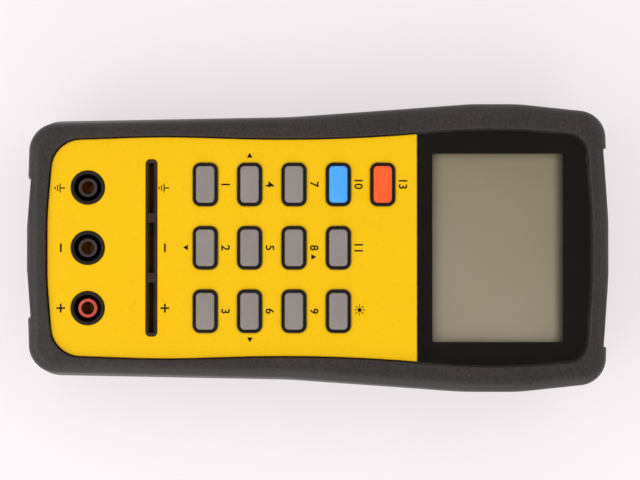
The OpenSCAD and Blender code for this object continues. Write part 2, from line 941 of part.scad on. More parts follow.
// one of a slot contact's pins, or the hole for it
module slot_pin(gap, z0, z1) {
  block([-slot_pin_w / 2 - gap, -slot_pin_l / 2 - gap, z0],
        [slot_pin_w / 2 + gap, slot_pin_l / 2 + gap, z1]);
}

module board_chips() {
  color("#232325")
    on_face()
      for (chip = CHIPS)
        translate([chip[0], chip[1], 0])
          prism(oblong(chip[2], chip[3], 0.4), board_low_h - chip[4], board_low_h);
}

module board_parts() {
  color("#8b8f94")
    on_face() {
      for (can = CANS)
        translate([can[0], can[1], 0])
          rod(can[2], board_low_h - can[3], board_low_h);
      for (choke = CHOKES)
        translate([choke[0], choke[1], 0])
          prism(oblong(choke[2], choke[2], 1), board_low_h - choke[3], board_low_h);
      translate(crystal_at)
        prism(oblong(crystal_w, crystal_l, crystal_l / 2 - 0.1), board_low_h - crystal_t,
              board_low_h);
    }
}

module shield_can() {
  color("#c4c7c9")
    on_face()
      translate([0, can_v, 0])
        difference() {
          prism(oblong(can_w, can_l, 1), board_low_h - can_t, board_low_h);
          prism(oblong(can_w, can_l, 1), board_low_h - can_t + can_sheet, board_low_h + over,
                can_sheet);
        }
}

module buzzer() {
  color("#1a1a1b")
    on_face()
      translate(buzzer_at)
        difference() {
          rod(buzzer_r, board_low_h - buzzer_t, board_low_h);
          rod(buzzer_hole_r, board_low_h - buzzer_t - over, board_low_h - buzzer_t / 2);
        }
}

module board_screws() {
  color("#b9bcc0")
    on_face()
      both_sides(board_screws_at) {
        rod(board_screw_r, board_low_h - eps, board_screw_top_h);
        difference() {
          rod(board_screw_head_r, board_low_h - board_screw_head_t, board_low_h);
          cross_recess(board_low_h - board_screw_head_t, board_screw_head_r);
        }
      }
}

// a cross-shaped recess cut upwards into a screw head of the given radius
module cross_recess(z, head_r) {
  reach = 0.6 * head_r;
  depth = 0.4 * head_r;
  for (a = [0, 90])
    rotate([0, 0, a])
      block([-reach, -screw_slot_w / 2, z - over], [reach, screw_slot_w / 2, z + depth]);
}

module slot_body() {
  lip_half = slot_l / 2 - slit_lip;
  pocket_half = slit_w / 2 + slot_pocket_gap;
  color("#1f1d1d")
    on_face()
      translate([0, slot_v, 0])
        difference() {
          union() {
            prism(oblong(slot_w, slot_l, slot_r), ceiling_h - fit - eps, slot_top_h);
            prism(oblong(slot_foot_w, slot_foot_l, 1), board_top_h, ceiling_h - fit);
          }
          for (t = TERMINALS)
            translate([t[1] * slit_pitch, 0, 0]) {
              block([-slit_w / 2, -slit_l / 2, board_top_h],
                    [slit_w / 2, slit_l / 2, slot_top_h + over]);
              translate([-slit_w / 2, 0, 0])
                rotate([90, 0, 90])
                  linear_extrude(slit_w)
                    polygon([[-slit_l / 2, slot_top_h - slit_lead_in],
                             [slit_l / 2, slot_top_h - slit_lead_in],
                             [lip_half, slot_top_h + eps], [-lip_half, slot_top_h + eps]]);
              block([-pocket_half, -slot_pocket_l / 2, board_top_h - over],
                    [pocket_half, slot_pocket_l / 2, slot_pocket_top_h]);
            }
        }
}

module slot_contact(column) {
  foot_h = board_top_h + fit;
  color("#c9a24a")
    on_face()
      translate([column * slit_pitch, slot_v, 0]) {
        for (s = [-1, 1])
          translate([0, s * (blade_gap + blade_t) / 2, 0])
            block([-blade_w / 2, -blade_t / 2, foot_h], [blade_w / 2, blade_t / 2, blade_top_h]);
        block([-blade_w / 2, -blade_gap / 2 - blade_t, foot_h],
              [blade_w / 2, blade_gap / 2 + blade_t, foot_h + blade_foot_t]);
        for (s = [-1, 1])
          translate([s * slot_pin_x, 0, 0])
            slot_pin(0, board_low_h - 1, foot_h + eps);
      }
}

module socket_shroud(column) {
  color("#1d1b1b")
    on_face()
      translate([column * socket_pitch, socket_v, 0])
        difference() {
          union() {
            rod(socket_r, board_top_h, socket_top_h);
            rod(socket_r + socket_flange_w, ceiling_h - fit - socket_flange_t, ceiling_h - fit);
          }
          rod(well_r, board_top_h + socket_floor_t, socket_top_h + over);
          rod(contact_r + run_gap, board_top_h - over, board_top_h + socket_floor_t + over);
        }
}

module socket_sleeve(column, shade) {
  color(shade)
    on_face()
      translate([column * socket_pitch, socket_v, 0])
        difference() {
          rod(sleeve_r, board_top_h + socket_floor_t, sleeve_top_h);
          rod(contact_r + run_gap, board_top_h, sleeve_top_h + over);
        }
}

module socket_contact(column) {
  color("#c9a24a")
    on_face()
      translate([column * socket_pitch, socket_v, 0])
        difference() {
          union() {
            rod(contact_r, contact_low_h, contact_top_h);
            rod(contact_r + contact_collar_w, board_low_h - contact_collar_t, board_low_h);
          }
          rod(socket_bore / 2, contact_top_h - socket_depth, contact_top_h + over);
        }
}

module dc_jack() {
  color("#1b1b1c")
    on_face()
      translate([0, jack_v, jack_h])
        difference() {
          union() {
            block([jack_body_u - jack_body_l, -jack_body_w / 2, -jack_body_low],
                  [jack_body_u, jack_body_w / 2, board_low_h - jack_h]);
            rotate([0, 90, 0])
              rod(jack_nose_r, jack_body_u - eps, jack_nose_u);
          }
          rotate([0, 90, 0])
            rod(jack_bore_r, jack_nose_u - jack_bore_l, jack_nose_u + over);
        }
}

module dc_pin() {
  color("#c8ccd0")
    on_face()
      translate([0, jack_v, jack_h])
        rotate([0, 90, 0])
          rod(jack_pin_r, jack_nose_u - jack_bore_l, jack_nose_u - 1);
}

module infrared_window() {
  color("#3a1014")
    translate([0, 0, link_z])
      rotate([-90, 0, 0]) {
        prism(oblong(link_w, link_t, link_r), link_wall_y - fit - eps, link_front_y);
        prism(oblong(link_w, link_t, link_r), link_wall_y - fit - link_flange_t,
              link_wall_y - fit, -link_flange_w);
      }
}

module infrared_emitters() {
  color("#31303a")
    on_face()
      for (s = [-1, 1])
        translate([s * led_x, led_v, link_led_h]) {
          rotate([-90, 0, 0])
            rod(led_r, 0, led_l);
          for (k = [-1, 1])
            translate([k * led_leg_x, led_leg_w, 0])
              block([-led_leg_w / 2, -led_leg_w / 2, 0],
                    [led_leg_w / 2, led_leg_w / 2, board_low_h - link_led_h]);
        }
}

module tilt_stand() {
  color("#3b3837")
    difference() {
      union() {
        difference() {
          translate([0, stand_hinge_y - stand_l / 2, 0])
            prism(oblong(stand_w, stand_l, stand_r), stand_low_z, stand_low_z + stand_t);
          block([-stand_w, stand_hinge_y, 0], [stand_w, stand_hinge_y + stand_l, body_t]);
        }
        block([-stand_w / 2, stand_hinge_y - stand_r - over, stand_low_z],
              [stand_w / 2, stand_hinge_y, stand_low_z + stand_t]);
        translate([0, stand_hinge_y, stand_hinge_z])
          rotate([0, 90, 0]) {
            rod(stand_knuckle_r, -stand_w / 2, stand_w / 2);
            rod(stand_pin_d / 2, -stand_w / 2 - stand_pin_l, stand_w / 2 + stand_pin_l);
          }
      }
      // lightening recesses on the inner face, with a rib between them
      for (s = [-1, 1])
        translate([s * stand_w / 4, stand_hinge_y - stand_l / 2 - 1, 0])
          prism(oblong(stand_w / 2 - stand_rib, stand_l - 2 * stand_recess_gap, 3),
                stand_low_z + stand_t - stand_recess_d, stand_low_z + stand_t + over);
    }
}

module battery_door() {
  rib_x = bay_w / 2 - door_rib_gap;
  rib_half = bay_l / 2 - door_rib_gap;
  color("#35322f")
    difference() {
      union() {
        translate([0, door_mid_y, 0])
          prism(oblong(door_w, door_y1 - door_y0, door_r), back_z, door_in_z);
        // locating rib past the battery snap
        translate([rib_x, bay_y, 0])
          block([-door_rib_t, -rib_half, door_in_z - eps], [0, rib_half, door_in_z + door_rib_h]);
      }
      translate([0, door_screw_y, 0]) {
        rod(screw_r + run_gap, 0, door_in_z + over);
        rod(screw_head_r + fit, 0, back_z + fit + door_head_t);
      }
      // grip lines across the outer face
      for (k = [-2:2])
        translate([0, bay_y + grip_pitch * k, back_z])
          block([-grip_w / 2, -grip_d, -over], [grip_w / 2, grip_d, grip_d]);
    }
}

module door_screw() {
  color("#b9bcc0")
    translate([0, door_screw_y, 0]) {
      difference() {
        rod(screw_head_r, back_z + fit, back_z + fit + door_head_t);
        cross_recess(back_z + fit, screw_head_r);
      }
      rod(screw_r, back_z + fit + door_head_t - eps, door_in_z + door_screw_l);
    }
}

module battery() {
  color("#7d8288")
    translate([0, bay_y, battery_z]) {
      translate([battery_x0, 0, battery_t / 2])
        rotate([90, 0, 90])
          prism(oblong(battery_w, battery_t, battery_r), 0, battery_l);
      for (s = [-1, 1])
        translate([battery_x1 - eps, s * stud_pitch / 2, battery_t / 2])
          rotate([0, 90, 0])
            rod(stud_r, 0, stud_l);
    }
}

module battery_snap() {
  color("#1c1b1b")
    translate([0, bay_y, battery_z + battery_t / 2])
      difference() {
        translate([battery_x1 + snap_gap, 0, 0])
          rotate([90, 0, 90])
            prism(oblong(battery_w - snap_r / 2, battery_t - 2 * snap_r, snap_r), 0, snap_t);
        for (s = [-1, 1])
          translate([battery_x1, s * stud_pitch / 2, 0])
            rotate([0, 90, 0])
              rod(stud_r + fit, 0, stud_l + snap_gap);
      }
}

module battery_foam() {
  color("#4a4a4c")
    translate([battery_x0, bay_y, battery_z + battery_t + fit])
      block([foam_margin, foam_margin / 2 - battery_w / 2, 0],
            [battery_l - foam_margin, battery_w / 2 - foam_margin / 2, foam_t]);
}

// the route of a battery lead: out of the snap, up through the notch, to the board
function lead_route(y) =
  let (
    x0 = battery_x1 + snap_gap + snap_t,
    z0 = battery_z + battery_t / 2,
    x1 = bay_w / 2 - notch_w / 2,
    end_z = face_level(board_low_h) + y * tan(face_tilt) - 0.3
  )
  [[x0, y, z0], [x0 + 0.5, y, z0], [x1 - 0.2, y, z0 + 0.7], [x1, y, z0 + 1.6],
   [x1, y, bay_top_z + bay_wall + 1], [x1 - 0.6, y, bay_top_z + bay_wall + 3],
   [x1 - 1, y, end_z - 1], [x1 - 1, y, end_z]];

// a tube swept along points that lie in a plane of constant Y
module lead(route) {
  n = len(route);
  rings = [for (i = [0:n - 1])
    let (
      ahead = unit(route[min(i + 1, n - 1)] - route[max(i - 1, 0)]),
      across = [0, 1, 0],
      up = cross(ahead, across)
    )
    [for (k = [0:lead_sides - 1])
      let (turn = 360 * k / lead_sides)
      route[i] + lead_r * (cos(turn) * across + sin(turn) * up)]];
  polyhedron(
    points = [for (points = rings) each points],
    faces = concat(
      [[for (k = [lead_sides - 1:-1:0]) k]],
      [for (i = [0:n - 2], k = [0:lead_sides - 1])
        let (low = i * lead_sides, high = low + lead_sides, next = (k + 1) % lead_sides)
        each [[low + k, low + next, high + next], [low + k, high + next, high + k]]],
      [[for (k = [0:lead_sides - 1]) (n - 1) * lead_sides + k]]
    )
  );
}

module lead_red() {
  color("#c22a22")
    lead(lead_route(bay_y + lead_offset));
}

module lead_black() {
  color("#1a1a1a")
    lead(lead_route(bay_y - lead_offset));
}

module case_screws() {
  color("#b9bcc0")
    both_sides(case_screws_at) {
      difference() {
        rod(screw_head_r, screw_seat_z - screw_head_t, screw_seat_z);
        cross_recess(screw_seat_z - screw_head_t, screw_head_r);
      }
      rod(screw_r, screw_seat_z - eps, screw_seat_z + screw_l);
    }
}

front_case();
rear_case();
front_bumper();
rear_bumper();
face_panel();
display_lens();
lens_mask();
lcd_glass();
lcd_backlight();
lcd_holder();
zebra_strips();
for (k = KEYS)
  key(key_place(k), k[3]);
key_mat();
main_board();
board_chips();
board_parts();
shield_can();
buzzer();
board_screws();
slot_body();
for (t = TERMINALS) {
  slot_contact(t[1]);
  socket_shroud(t[1]);
  socket_sleeve(t[1], t[2]);
  socket_contact(t[1]);
}
dc_jack();
dc_pin();
infrared_window();
infrared_emitters();
tilt_stand();
battery_door();
door_screw();
battery();
battery_snap();
battery_foam();
lead_red();
lead_black();
case_screws();
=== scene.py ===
# %% [markdown]
# # A handheld component tester
#
# This lesson dresses a bench tester for coils, capacitors and resistors: a dark rubbery
# bumper round a yellow face, thirteen keys, a display behind a clear window, three 4 mm
# sockets and a component slot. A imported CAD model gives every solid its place, so each
# piece here is built in the same frame and only has to look right. Sizes are in
# millimetres, and a piece is scaled to metres as its last step.

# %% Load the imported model
import json
import math
import bpy
import bmesh
from mathutils import Matrix, Vector


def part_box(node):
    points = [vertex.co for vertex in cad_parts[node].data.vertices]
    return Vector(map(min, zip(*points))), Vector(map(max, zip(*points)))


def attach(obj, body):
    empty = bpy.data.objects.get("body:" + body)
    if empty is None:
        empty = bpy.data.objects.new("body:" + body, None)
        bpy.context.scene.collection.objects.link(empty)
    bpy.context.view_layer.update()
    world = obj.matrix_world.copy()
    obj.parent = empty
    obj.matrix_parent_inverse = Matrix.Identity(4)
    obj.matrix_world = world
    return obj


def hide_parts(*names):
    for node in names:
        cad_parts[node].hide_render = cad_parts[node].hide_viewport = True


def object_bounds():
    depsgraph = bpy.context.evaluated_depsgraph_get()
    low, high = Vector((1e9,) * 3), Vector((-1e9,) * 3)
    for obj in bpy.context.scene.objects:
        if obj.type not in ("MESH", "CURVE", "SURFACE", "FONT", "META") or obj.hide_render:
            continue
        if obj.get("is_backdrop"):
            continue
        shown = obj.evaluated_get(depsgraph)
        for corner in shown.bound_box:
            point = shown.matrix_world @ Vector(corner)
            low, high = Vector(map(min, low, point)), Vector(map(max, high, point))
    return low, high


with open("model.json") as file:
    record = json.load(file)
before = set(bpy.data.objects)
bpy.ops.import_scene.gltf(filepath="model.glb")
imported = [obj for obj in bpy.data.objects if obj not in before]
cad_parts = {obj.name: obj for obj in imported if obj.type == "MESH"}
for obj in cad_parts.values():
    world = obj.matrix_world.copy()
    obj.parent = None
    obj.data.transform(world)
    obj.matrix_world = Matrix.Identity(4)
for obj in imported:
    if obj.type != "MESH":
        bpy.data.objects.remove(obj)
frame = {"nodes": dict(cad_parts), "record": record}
nodes = frame["nodes"]
cad_box = [list(corner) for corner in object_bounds()]

# %% [markdown]
# ## The camera
#
# The view looks almost straight down from half a metre, with the head of the tester to
# the right. The camera's axes are written out in the tester's frame, and the lens lets
# the tester fill most of the picture's width.

# %% Place the camera
scene = bpy.context.scene
RIGHT_UP_BACK = Matrix(((0.0, 0.998904, 0.046810), (-0.999929, -0.000556, 0.011867),
                        (0.011880, -0.046807, 0.998833)))
CAMERA_AT = (0.0032208, -0.0216648, 0.5235488)
camera = bpy.data.objects.new("camera", bpy.data.cameras.new("camera"))
scene.collection.objects.link(camera)
camera.matrix_world = Matrix.Translation(CAMERA_AT) @ RIGHT_UP_BACK.transposed().to_4x4()
camera.data.sensor_width = 36
camera.data.lens = 85.22
camera.data.clip_start = 0.01
scene.camera = camera
scene.view_settings.view_transform = "Standard"
print("camera at", [round(c, 4) for c in camera.location])

# %% [markdown]
# ## The sloping face
#
# The face leans back by three degrees, so that it looks at someone who sits behind it.
# Keys, sockets and window are square to the face and not to the table. One matrix puts
# a piece that is drawn flat on that slope: x across, y along the face and z out of it.

# %% Set the face frame
TILT = math.radians(3)
FACE_Z = 45.87558
FACE = Matrix.Translation((0, 0, FACE_Z)) @ Matrix.Rotation(TILT, 4, "X")
UPRIGHT = Matrix.Identity(4)
socket_mount = next(m for m in frame["record"]["mounts"] if m["name"] == "low_test_socket")
SOCKET_V = -72.6581
SOCKET_MOUNT_H = -8.1
drawn = FACE @ Vector((0, SOCKET_V, SOCKET_MOUNT_H))
print("socket is off by", (drawn - 1000 * Vector(socket_mount["pos_m"])).length, "mm")


def face_height(y, h):
    """Height over the table of a point h over the face, y along the tester."""
    return FACE_Z + h / math.cos(TILT) + y * math.tan(TILT)


# %% [markdown]
# ## Outlines with round corners
#
# Almost every part is a flat shape with round corners that has been given a height. A
# shape is a short list of corners with a radius each, and one function turns it into a
# loop of points, moved inwards where a step or a rounded edge needs it. The number of
# points depends on the corner and not on the inset, so two loops of one shape match.
#
# The body and the opening in its border both have a straight tail, a narrow waist under
# the thumb and a wide head. SPLIT is where the yellow label ends and the window starts.

# %% Make loops of points
SMALLEST_RADIUS = 0.03


def corner_arc(before, corner, after, radius, steps):
    """Points of the arc that rounds a corner."""
    back = (before - corner).normalized()
    ahead = (after - corner).normalized()
    half = back.angle(ahead) / 2
    centre = corner + (back + ahead).normalized() * (radius / math.sin(half))
    start = corner + back * (radius / math.tan(half)) - centre
    side = 1 if (corner - before).cross(after - corner) > 0 else -1
    sweep = side * (math.pi - 2 * half)
    return [centre + Matrix.Rotation(sweep * k / steps, 2) @ start for k in range(steps + 1)]


def outline(corners, inset=0.0):
    """Points of a closed shape of (x, y, radius, steps) corners, moved inwards."""
    flat = [Vector(corner[:2]) for corner in corners]
    moved = []
    turns = []
    for i, corner in enumerate(flat):
        before = corner - flat[i - 1]
        after = flat[(i + 1) % len(flat)] - corner
        push = Vector((-before.y, before.x)).normalized() \
            + Vector((-after.y, after.x)).normalized()
        moved.append(corner + push * (2 * inset / push.length_squared))
        turns.append(1 if before.cross(after) > 0 else -1)
    points = []
    for i, (*_, radius, steps) in enumerate(corners):
        if steps == 0:
            points.append(moved[i])
            continue
        round_r = max(SMALLEST_RADIUS, radius - inset * turns[i])
        ahead = moved[(i + 1) % len(moved)]
        points += corner_arc(moved[i - 1], moved[i], ahead, round_r, steps)
    return points


def oblong(width, length, radius, steps=6, x=0.0, y=0.0):
    """Corners of a rectangle with round corners."""
    w, l = width / 2, length / 2
    return [(x + w, y - l, radius, steps), (x + w, y + l, radius, steps),
            (x - w, y + l, radius, steps), (x - w, y - l, radius, steps)]


def symmetric(half):
    """A closed outline from its right half, listed from tail to head."""
    return half + [(-x, y, radius, steps) for x, y, radius, steps in reversed(half)]


def at_height(points, z):
    """Flat points lifted to one height."""
    return [(p[0], p[1], z) for p in points]


def rings_of(levels):
    """Loops of points from a list of (corners, inset, height)."""
    return [at_height(outline(shape, inset), h) for shape, inset, h in levels]


def round_edge(width, height, top, steps):
    """(inset, height) of the points of a quarter round that ends at the top."""
    turns = [math.pi / 2 * k / steps for k in range(steps + 1)]
    return [(width * (1 - math.cos(t)), top - height * (1 - math.sin(t))) for t in turns]


def part_of(corners, inset, low=-math.inf, high=math.inf):
    """Points of the part of a shape between two values of y, moved inwards on all sides."""
    flat, moved = outline(corners), outline(corners, inset)
    points = []
    for i, point in enumerate(flat):
        for limit, side in ((low, 1), (high, -1)):
            if (flat[i - 1].y - limit) * (point.y - limit) < 0:
                start, along = moved[i - 1], moved[i] - moved[i - 1]
                points.append(start + along * ((limit + side * inset - start.y) / along.y))
        if low < point.y < high:
            points.append(moved[i])
    return points


HALF_LENGTH = 94
BODY = symmetric([(10, -HALF_LENGTH, 100, 4), (41.3, -93, 10.8, 18), (43.25, -8.5, 120, 8),
                  (47.5, 48.4, 60, 5), (47.5, 63.7, 60, 5), (44.4, 92.8, 10.6, 18),
                  (10, HALF_LENGTH, 100, 4)])
OPENING = symmetric([(10, -85.45, 100, 4), (33.9, -83.55, 9.5, 16), (35.1, -48.65, 300, 6),
                     (33.5, 4.1, 500, 14), (37.95, 54.35, 215, 14), (35.35, 84.35, 6.4, 14),
                     (10, 86.15, 100, 4)])
SPLIT = 31.35
SPLIT_GAP = 0.15
print("outline of the body has", len(outline(BODY)), "points")

# %% [markdown]
# ## Walls, plates and turned parts
#
# A few tools make most of the meshes. A wall extrudes a loop of edges step by
# step and moves each copy to its own points, a cap fills the flat area between an outer
# loop and the holes in it, and a turned part spins its profile round an axis as a lathe
# would.

# %% Build walls, caps and turned parts
def add_wall(bm, loops, closed=False):
    """Extrude a loop of edges from one set of points to the next and return every loop."""
    verts = [bm.verts.new(point) for point in loops[0]]
    rings = [[bm.edges.new((verts[i - 1], verts[i])) for i in range(len(verts))]]
    for loop in loops[1:] + (loops[:1] if closed else []):
        grown = bmesh.ops.extrude_edge_only(bm, edges=rings[-1])["geom"]
        fresh = {part for part in grown if isinstance(part, bmesh.types.BMVert)}
        verts = [next(edge.other_vert(v) for edge in v.link_edges
                      if edge.other_vert(v) in fresh) for v in verts]
        for v, point in zip(verts, loop):
            v.co = point
        rings.append([bm.edges.get((verts[i - 1], verts[i])) for i in range(len(verts))])
    return rings


def add_cap(bm, *rings):
    """Fill the flat area between an outer loop and any holes in it."""
    edges = [edge for ring in rings for edge in ring]
    bmesh.ops.triangle_fill(bm, edges=edges, use_beauty=True)


def add_solid(bm, *walls):
    """The outer wall of a solid and those of its openings, with a flat cap at each end."""
    built = [add_wall(bm, loops) for loops in walls]
    add_cap(bm, *(rings[0] for rings in built))
    add_cap(bm, *(rings[-1] for rings in built))


def add_turned(bm, profile, steps, x, y):
    """Spin a profile of (radius, height, fillet, steps) corners round an upright axis."""
    verts = [bm.verts.new((x + p[0], y, p[1])) for p in outline(profile)]
    edges = [bm.edges.new(pair) for pair in zip(verts, verts[1:] + verts[:1])]
    bmesh.ops.spin(bm, geom=verts + edges, cent=(x, y, 0), axis=(0, 0, 1),
                   angle=2 * math.pi, steps=steps, use_merge=True)


# %% [markdown]
# ## Finishing a piece
#
# A finished mesh is scaled to metres, moved to its place and given smooth shading that
# breaks only at real corners. Weighted normals keep the broad faces flat and leave the
# curve to the narrow bevels. The piece then rides on its body and stands in for the CAD
# nodes that it covers.

# %% Turn a bmesh into a piece
TO_METRES = Matrix.Scale(0.001, 4)
MERGE_MM = 1e-4


def new_object(name, bm):
    """Write a bmesh to a new object, with its points and faces in a fixed order."""
    for parts, key in ((bm.verts, lambda vert: tuple(vert.co)),
                       (bm.faces, lambda face: sorted(vert.index for vert in face.verts))):
        rank = {part: i for i, part in enumerate(sorted(parts, key=key))}
        parts.sort(key=rank.get)
        parts.index_update()
    mesh = bpy.data.meshes.new(name)
    bm.to_mesh(mesh)
    bm.free()
    made = bpy.data.objects.new(name, mesh)
    scene.collection.objects.link(made)
    return made


def final_mesh(shown):
    """A mesh of what an object shows, with its modifiers applied."""
    bpy.context.view_layer.update()
    return bpy.data.meshes.new_from_object(
        shown.evaluated_get(bpy.context.evaluated_depsgraph_get()))


def make_piece(name, bm, material, body="case", place=FACE, stands_for=(), sharp=50):
    """Finish a bmesh that is drawn in millimetres and hang it on a body."""
    bmesh.ops.remove_doubles(bm, verts=bm.verts, dist=MERGE_MM)
    bmesh.ops.recalc_face_normals(bm, faces=bm.faces)
    if bm.calc_volume(signed=True) < 0:
        bmesh.ops.reverse_faces(bm, faces=bm.faces)
    bm.transform(TO_METRES @ place)
    made = new_object(name, bm)
    made.data.materials.append(material)
    made.data.shade_smooth()
    made.data.set_sharp_from_angle(angle=math.radians(sharp))
    weighted = made.modifiers.new("weighted normals", "WEIGHTED_NORMAL")
    weighted.keep_sharp = True
    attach(made, body)
    if stands_for:
        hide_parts(*stands_for)
    print(name, len(made.data.polygons), "faces")
    return made


# %% [markdown]
# ## Materials
#
# Colours are written as sRGB codes and turned to linear light by one function, and one
# more adds a shader node with its settings and links. Patterns read object coordinates,
# so their scale is a real size. A Mix node for colours takes its factor at input 0, its
# colours at inputs 6 and 7 and gives output 2.

# %% Write the material helpers
def linear(code):
    """Linear colour of an sRGB code such as #ffcc00."""
    parts = [int(code[i:i + 2], 16) / 255 for i in (1, 3, 5)]
    return [p / 12.92 if p <= 0.04045 else ((p + 0.055) / 1.055) ** 2.4
            for p in parts] + [1.0]


def add(tree, kind, inputs, **settings):
    """Add a shader node. An input is a value, or the output of another node."""
    made = tree.nodes.new("ShaderNode" + kind)
    for name, value in settings.items():
        setattr(made, name, value)
    for name, value in inputs.items():
        if isinstance(value, bpy.types.NodeSocket):
            tree.links.new(value, made.inputs[name])
        else:
            made.inputs[name].default_value = value
    return made


def new_material(name):
    """An empty material, its node tree and its object coordinates."""
    made = bpy.data.materials.new(name)
    made.use_nodes = True
    made.node_tree.nodes.clear()
    return made, made.node_tree, add(made.node_tree, "TexCoord", {}).outputs["Object"]


# %% [markdown]
# ### Moulded plastics and rubber
#
# A spark-eroded mould leaves a fine matt grain about a third of a millimetre across, and
# the pigment is never quite even. So the base is one colour drifting a little towards a
# second over a few centimetres, the grain gives a shallow bump, and the same grain makes
# the pigment and the gloss flicker. The soft rubber of the bumper has the same grain,
# but it is drawn twice as coarse, at 0.7 mm, because a third of a millimetre is too fine
# to show from half a metre away.

# %% Mix a moulded finish
def moulded(name, main, drift, rough, grain_mm, depth_mm, patch_mm=25, specular=0.5,
            fleck=0.06):
    """A moulded plastic or rubber with mould grain and slightly uneven pigment."""
    made, tree, where = new_material(name)
    patch = add(tree, "TexNoise", {"Vector": where, "Scale": 1000 / patch_mm, "Detail": 3.0})
    grain = add(tree, "TexNoise", {"Vector": where, "Scale": 1000 / grain_mm, "Detail": 2.0})
    even = add(tree, "MapRange", {
        "Value": patch.outputs[0], "From Min": 0.35, "From Max": 0.65})
    gloss = add(tree, "MapRange", {
        "Value": grain.outputs[0], "From Min": 0.3, "From Max": 0.7, "To Min": rough - 0.07,
        "To Max": rough + 0.07})
    bump = add(tree, "Bump", {
        "Height": grain.outputs[0], "Distance": depth_mm / 1000, "Strength": 0.6})
    specks = add(tree, "MapRange", {
        "Value": grain.outputs[0], "From Min": 0.35, "From Max": 0.65, "To Min": 1 - fleck,
        "To Max": 1 + fleck})
    pigment = add(tree, "Mix", {
        0: even.outputs[0], 6: linear(main), 7: linear(drift)}, data_type="RGBA")
    tone = add(tree, "HueSaturation", {"Color": pigment.outputs[2], "Value": specks.outputs[0]})
    skin = add(tree, "BsdfPrincipled", {
        "Base Color": tone.outputs[0], "IOR": 1.5, "Roughness": gloss.outputs[0],
        "Specular IOR Level": specular, "Normal": bump.outputs[0]})
    add(tree, "OutputMaterial", {"Surface": skin.outputs[0]})
    return made


# %% [markdown]
# ### Metals
#
# Screws are rolled steel, contacts are turned brass or bronze strip and the shield is
# tinned steel. Their marks run one way, so the noise is stretched sixfold, and it moves
# the roughness and a very shallow bump. The colour has stains of about 4 mm.

# %% Mix a metal finish
MARK_STRETCH = 6.0


def metal(name, main, drift, rough, mark_mm, depth_mm):
    """A bare metal with drawn or turned marks."""
    made, tree, where = new_material(name)
    drawn_out = add(tree, "Mapping", {
        "Vector": where, "Scale": (1.0, MARK_STRETCH, MARK_STRETCH)})
    marks = add(tree, "TexNoise", {
        "Vector": drawn_out.outputs[0], "Detail": 4.0,
        "Scale": 1000 / (MARK_STRETCH * mark_mm)})
    stain = add(tree, "TexNoise", {"Vector": where, "Scale": 250.0, "Detail": 3.0})
    even = add(tree, "MapRange", {"Value": stain.outputs[0], "From Min": 0.35, "From Max": 0.7})
    gloss = add(tree, "MapRange", {
        "Value": marks.outputs[0], "To Min": rough - 0.08, "To Max": rough + 0.12})
    bump = add(tree, "Bump", {
        "Height": marks.outputs[0], "Distance": depth_mm / 1000, "Strength": 0.5})
    tone = add(tree, "Mix", {
        0: even.outputs[0], 6: linear(main), 7: linear(drift)}, data_type="RGBA")
    skin = add(tree, "BsdfPrincipled", {
        "Base Color": tone.outputs[2], "Metallic": 1.0, "Roughness": gloss.outputs[0],
        "Normal": bump.outputs[0]})
    add(tree, "OutputMaterial", {"Surface": skin.outputs[0]})
    return made


# %% [markdown]
# ### The finishes of this tester
#
# Soft rubber, ABS, nylon, PBT, silicone and vinyl are moulded, so one recipe serves
# them all. Each line gives the two colours, the roughness, the grain and its depth in
# millimetres, and the size of the patches.

# %% Mix the plastics, rubbers and metals
bumper_rubber = moulded("moulded_soft_rubber", "#282221", "#2d2725", 0.5, 0.7, 0.08, 40, 0.35,
                        fleck=0.35)
case_abs = moulded("moulded_black_abs", "#241e1d", "#2a2423", 0.5, 0.35, 0.02, 30)
frame_abs = moulded("moulded_key_frame_abs", "#0d0806", "#120b08", 0.6, 0.35, 0.015, 20, 0.14)
label_film = moulded("printed_polycarbonate_label", "#ebba0b", "#e9b708", 0.48, 0.25, 0.006, 45,
                     0.1)
label_ink = moulded("screen_printed_ink", "#1a0f08", "#20140b", 0.6, 0.2, 0.004, 5, 0.1)
mask_ink = moulded("black_back_printed_ink", "#0c0605", "#100908", 0.7, 0.4, 0.004, 20, 0.1)
key_grey = moulded("moulded_grey_keycap", "#857d7a", "#89817e", 0.5, 0.3, 0.01, 12, 0.35)
key_blue = moulded("moulded_blue_keycap", "#44a0f3", "#4ca6f6", 0.45, 0.3, 0.01, 12, 0.35)
key_red = moulded("moulded_red_keycap", "#f9521a", "#fb5a22", 0.45, 0.3, 0.01, 12, 0.35)
socket_nylon = moulded("moulded_black_nylon", "#0e0a08", "#140e0b", 0.45, 0.3, 0.008, 8, 0.25)
sleeve_nylon = moulded("moulded_dark_sleeve", "#261d1b", "#2e2421", 0.42, 0.3, 0.008, 6, 0.45)
sleeve_red = moulded("moulded_red_sleeve", "#b93c32", "#c34a40", 0.42, 0.3, 0.008, 6, 0.45)
slot_pbt = moulded("moulded_slot_pbt", "#2b1d18", "#35251e", 0.5, 0.3, 0.01, 10, 0.25)
stand_abs = moulded("moulded_stand_abs", "#332c2a", "#3a3330", 0.5, 0.4, 0.03, 25)
door_abs = moulded("moulded_door_abs", "#2b2422", "#312a27", 0.5, 0.4, 0.03, 25)
jack_pbt = moulded("moulded_jack_pbt", "#191615", "#201c1b", 0.42, 0.3, 0.01, 8)
mat_silicone = moulded("moulded_key_mat_silicone", "#c5c5c0", "#cfcfca", 0.6, 0.5, 0.01, 15,
                       0.3)
holder_abs = moulded("moulded_holder_abs", "#d9d6cf", "#e0ddd6", 0.5, 0.4, 0.01, 20)
guide_acrylic = moulded("frosted_light_guide", "#e6e4d8", "#eeece2", 0.35, 0.5, 0.01, 20)
zebra_rubber = moulded("layered_contact_rubber", "#2f2f31", "#3c3c3e", 0.6, 0.2, 0.01, 2)
chip_epoxy = moulded("moulded_chip_epoxy", "#222224", "#2a2a2c", 0.55, 0.25, 0.01, 6)
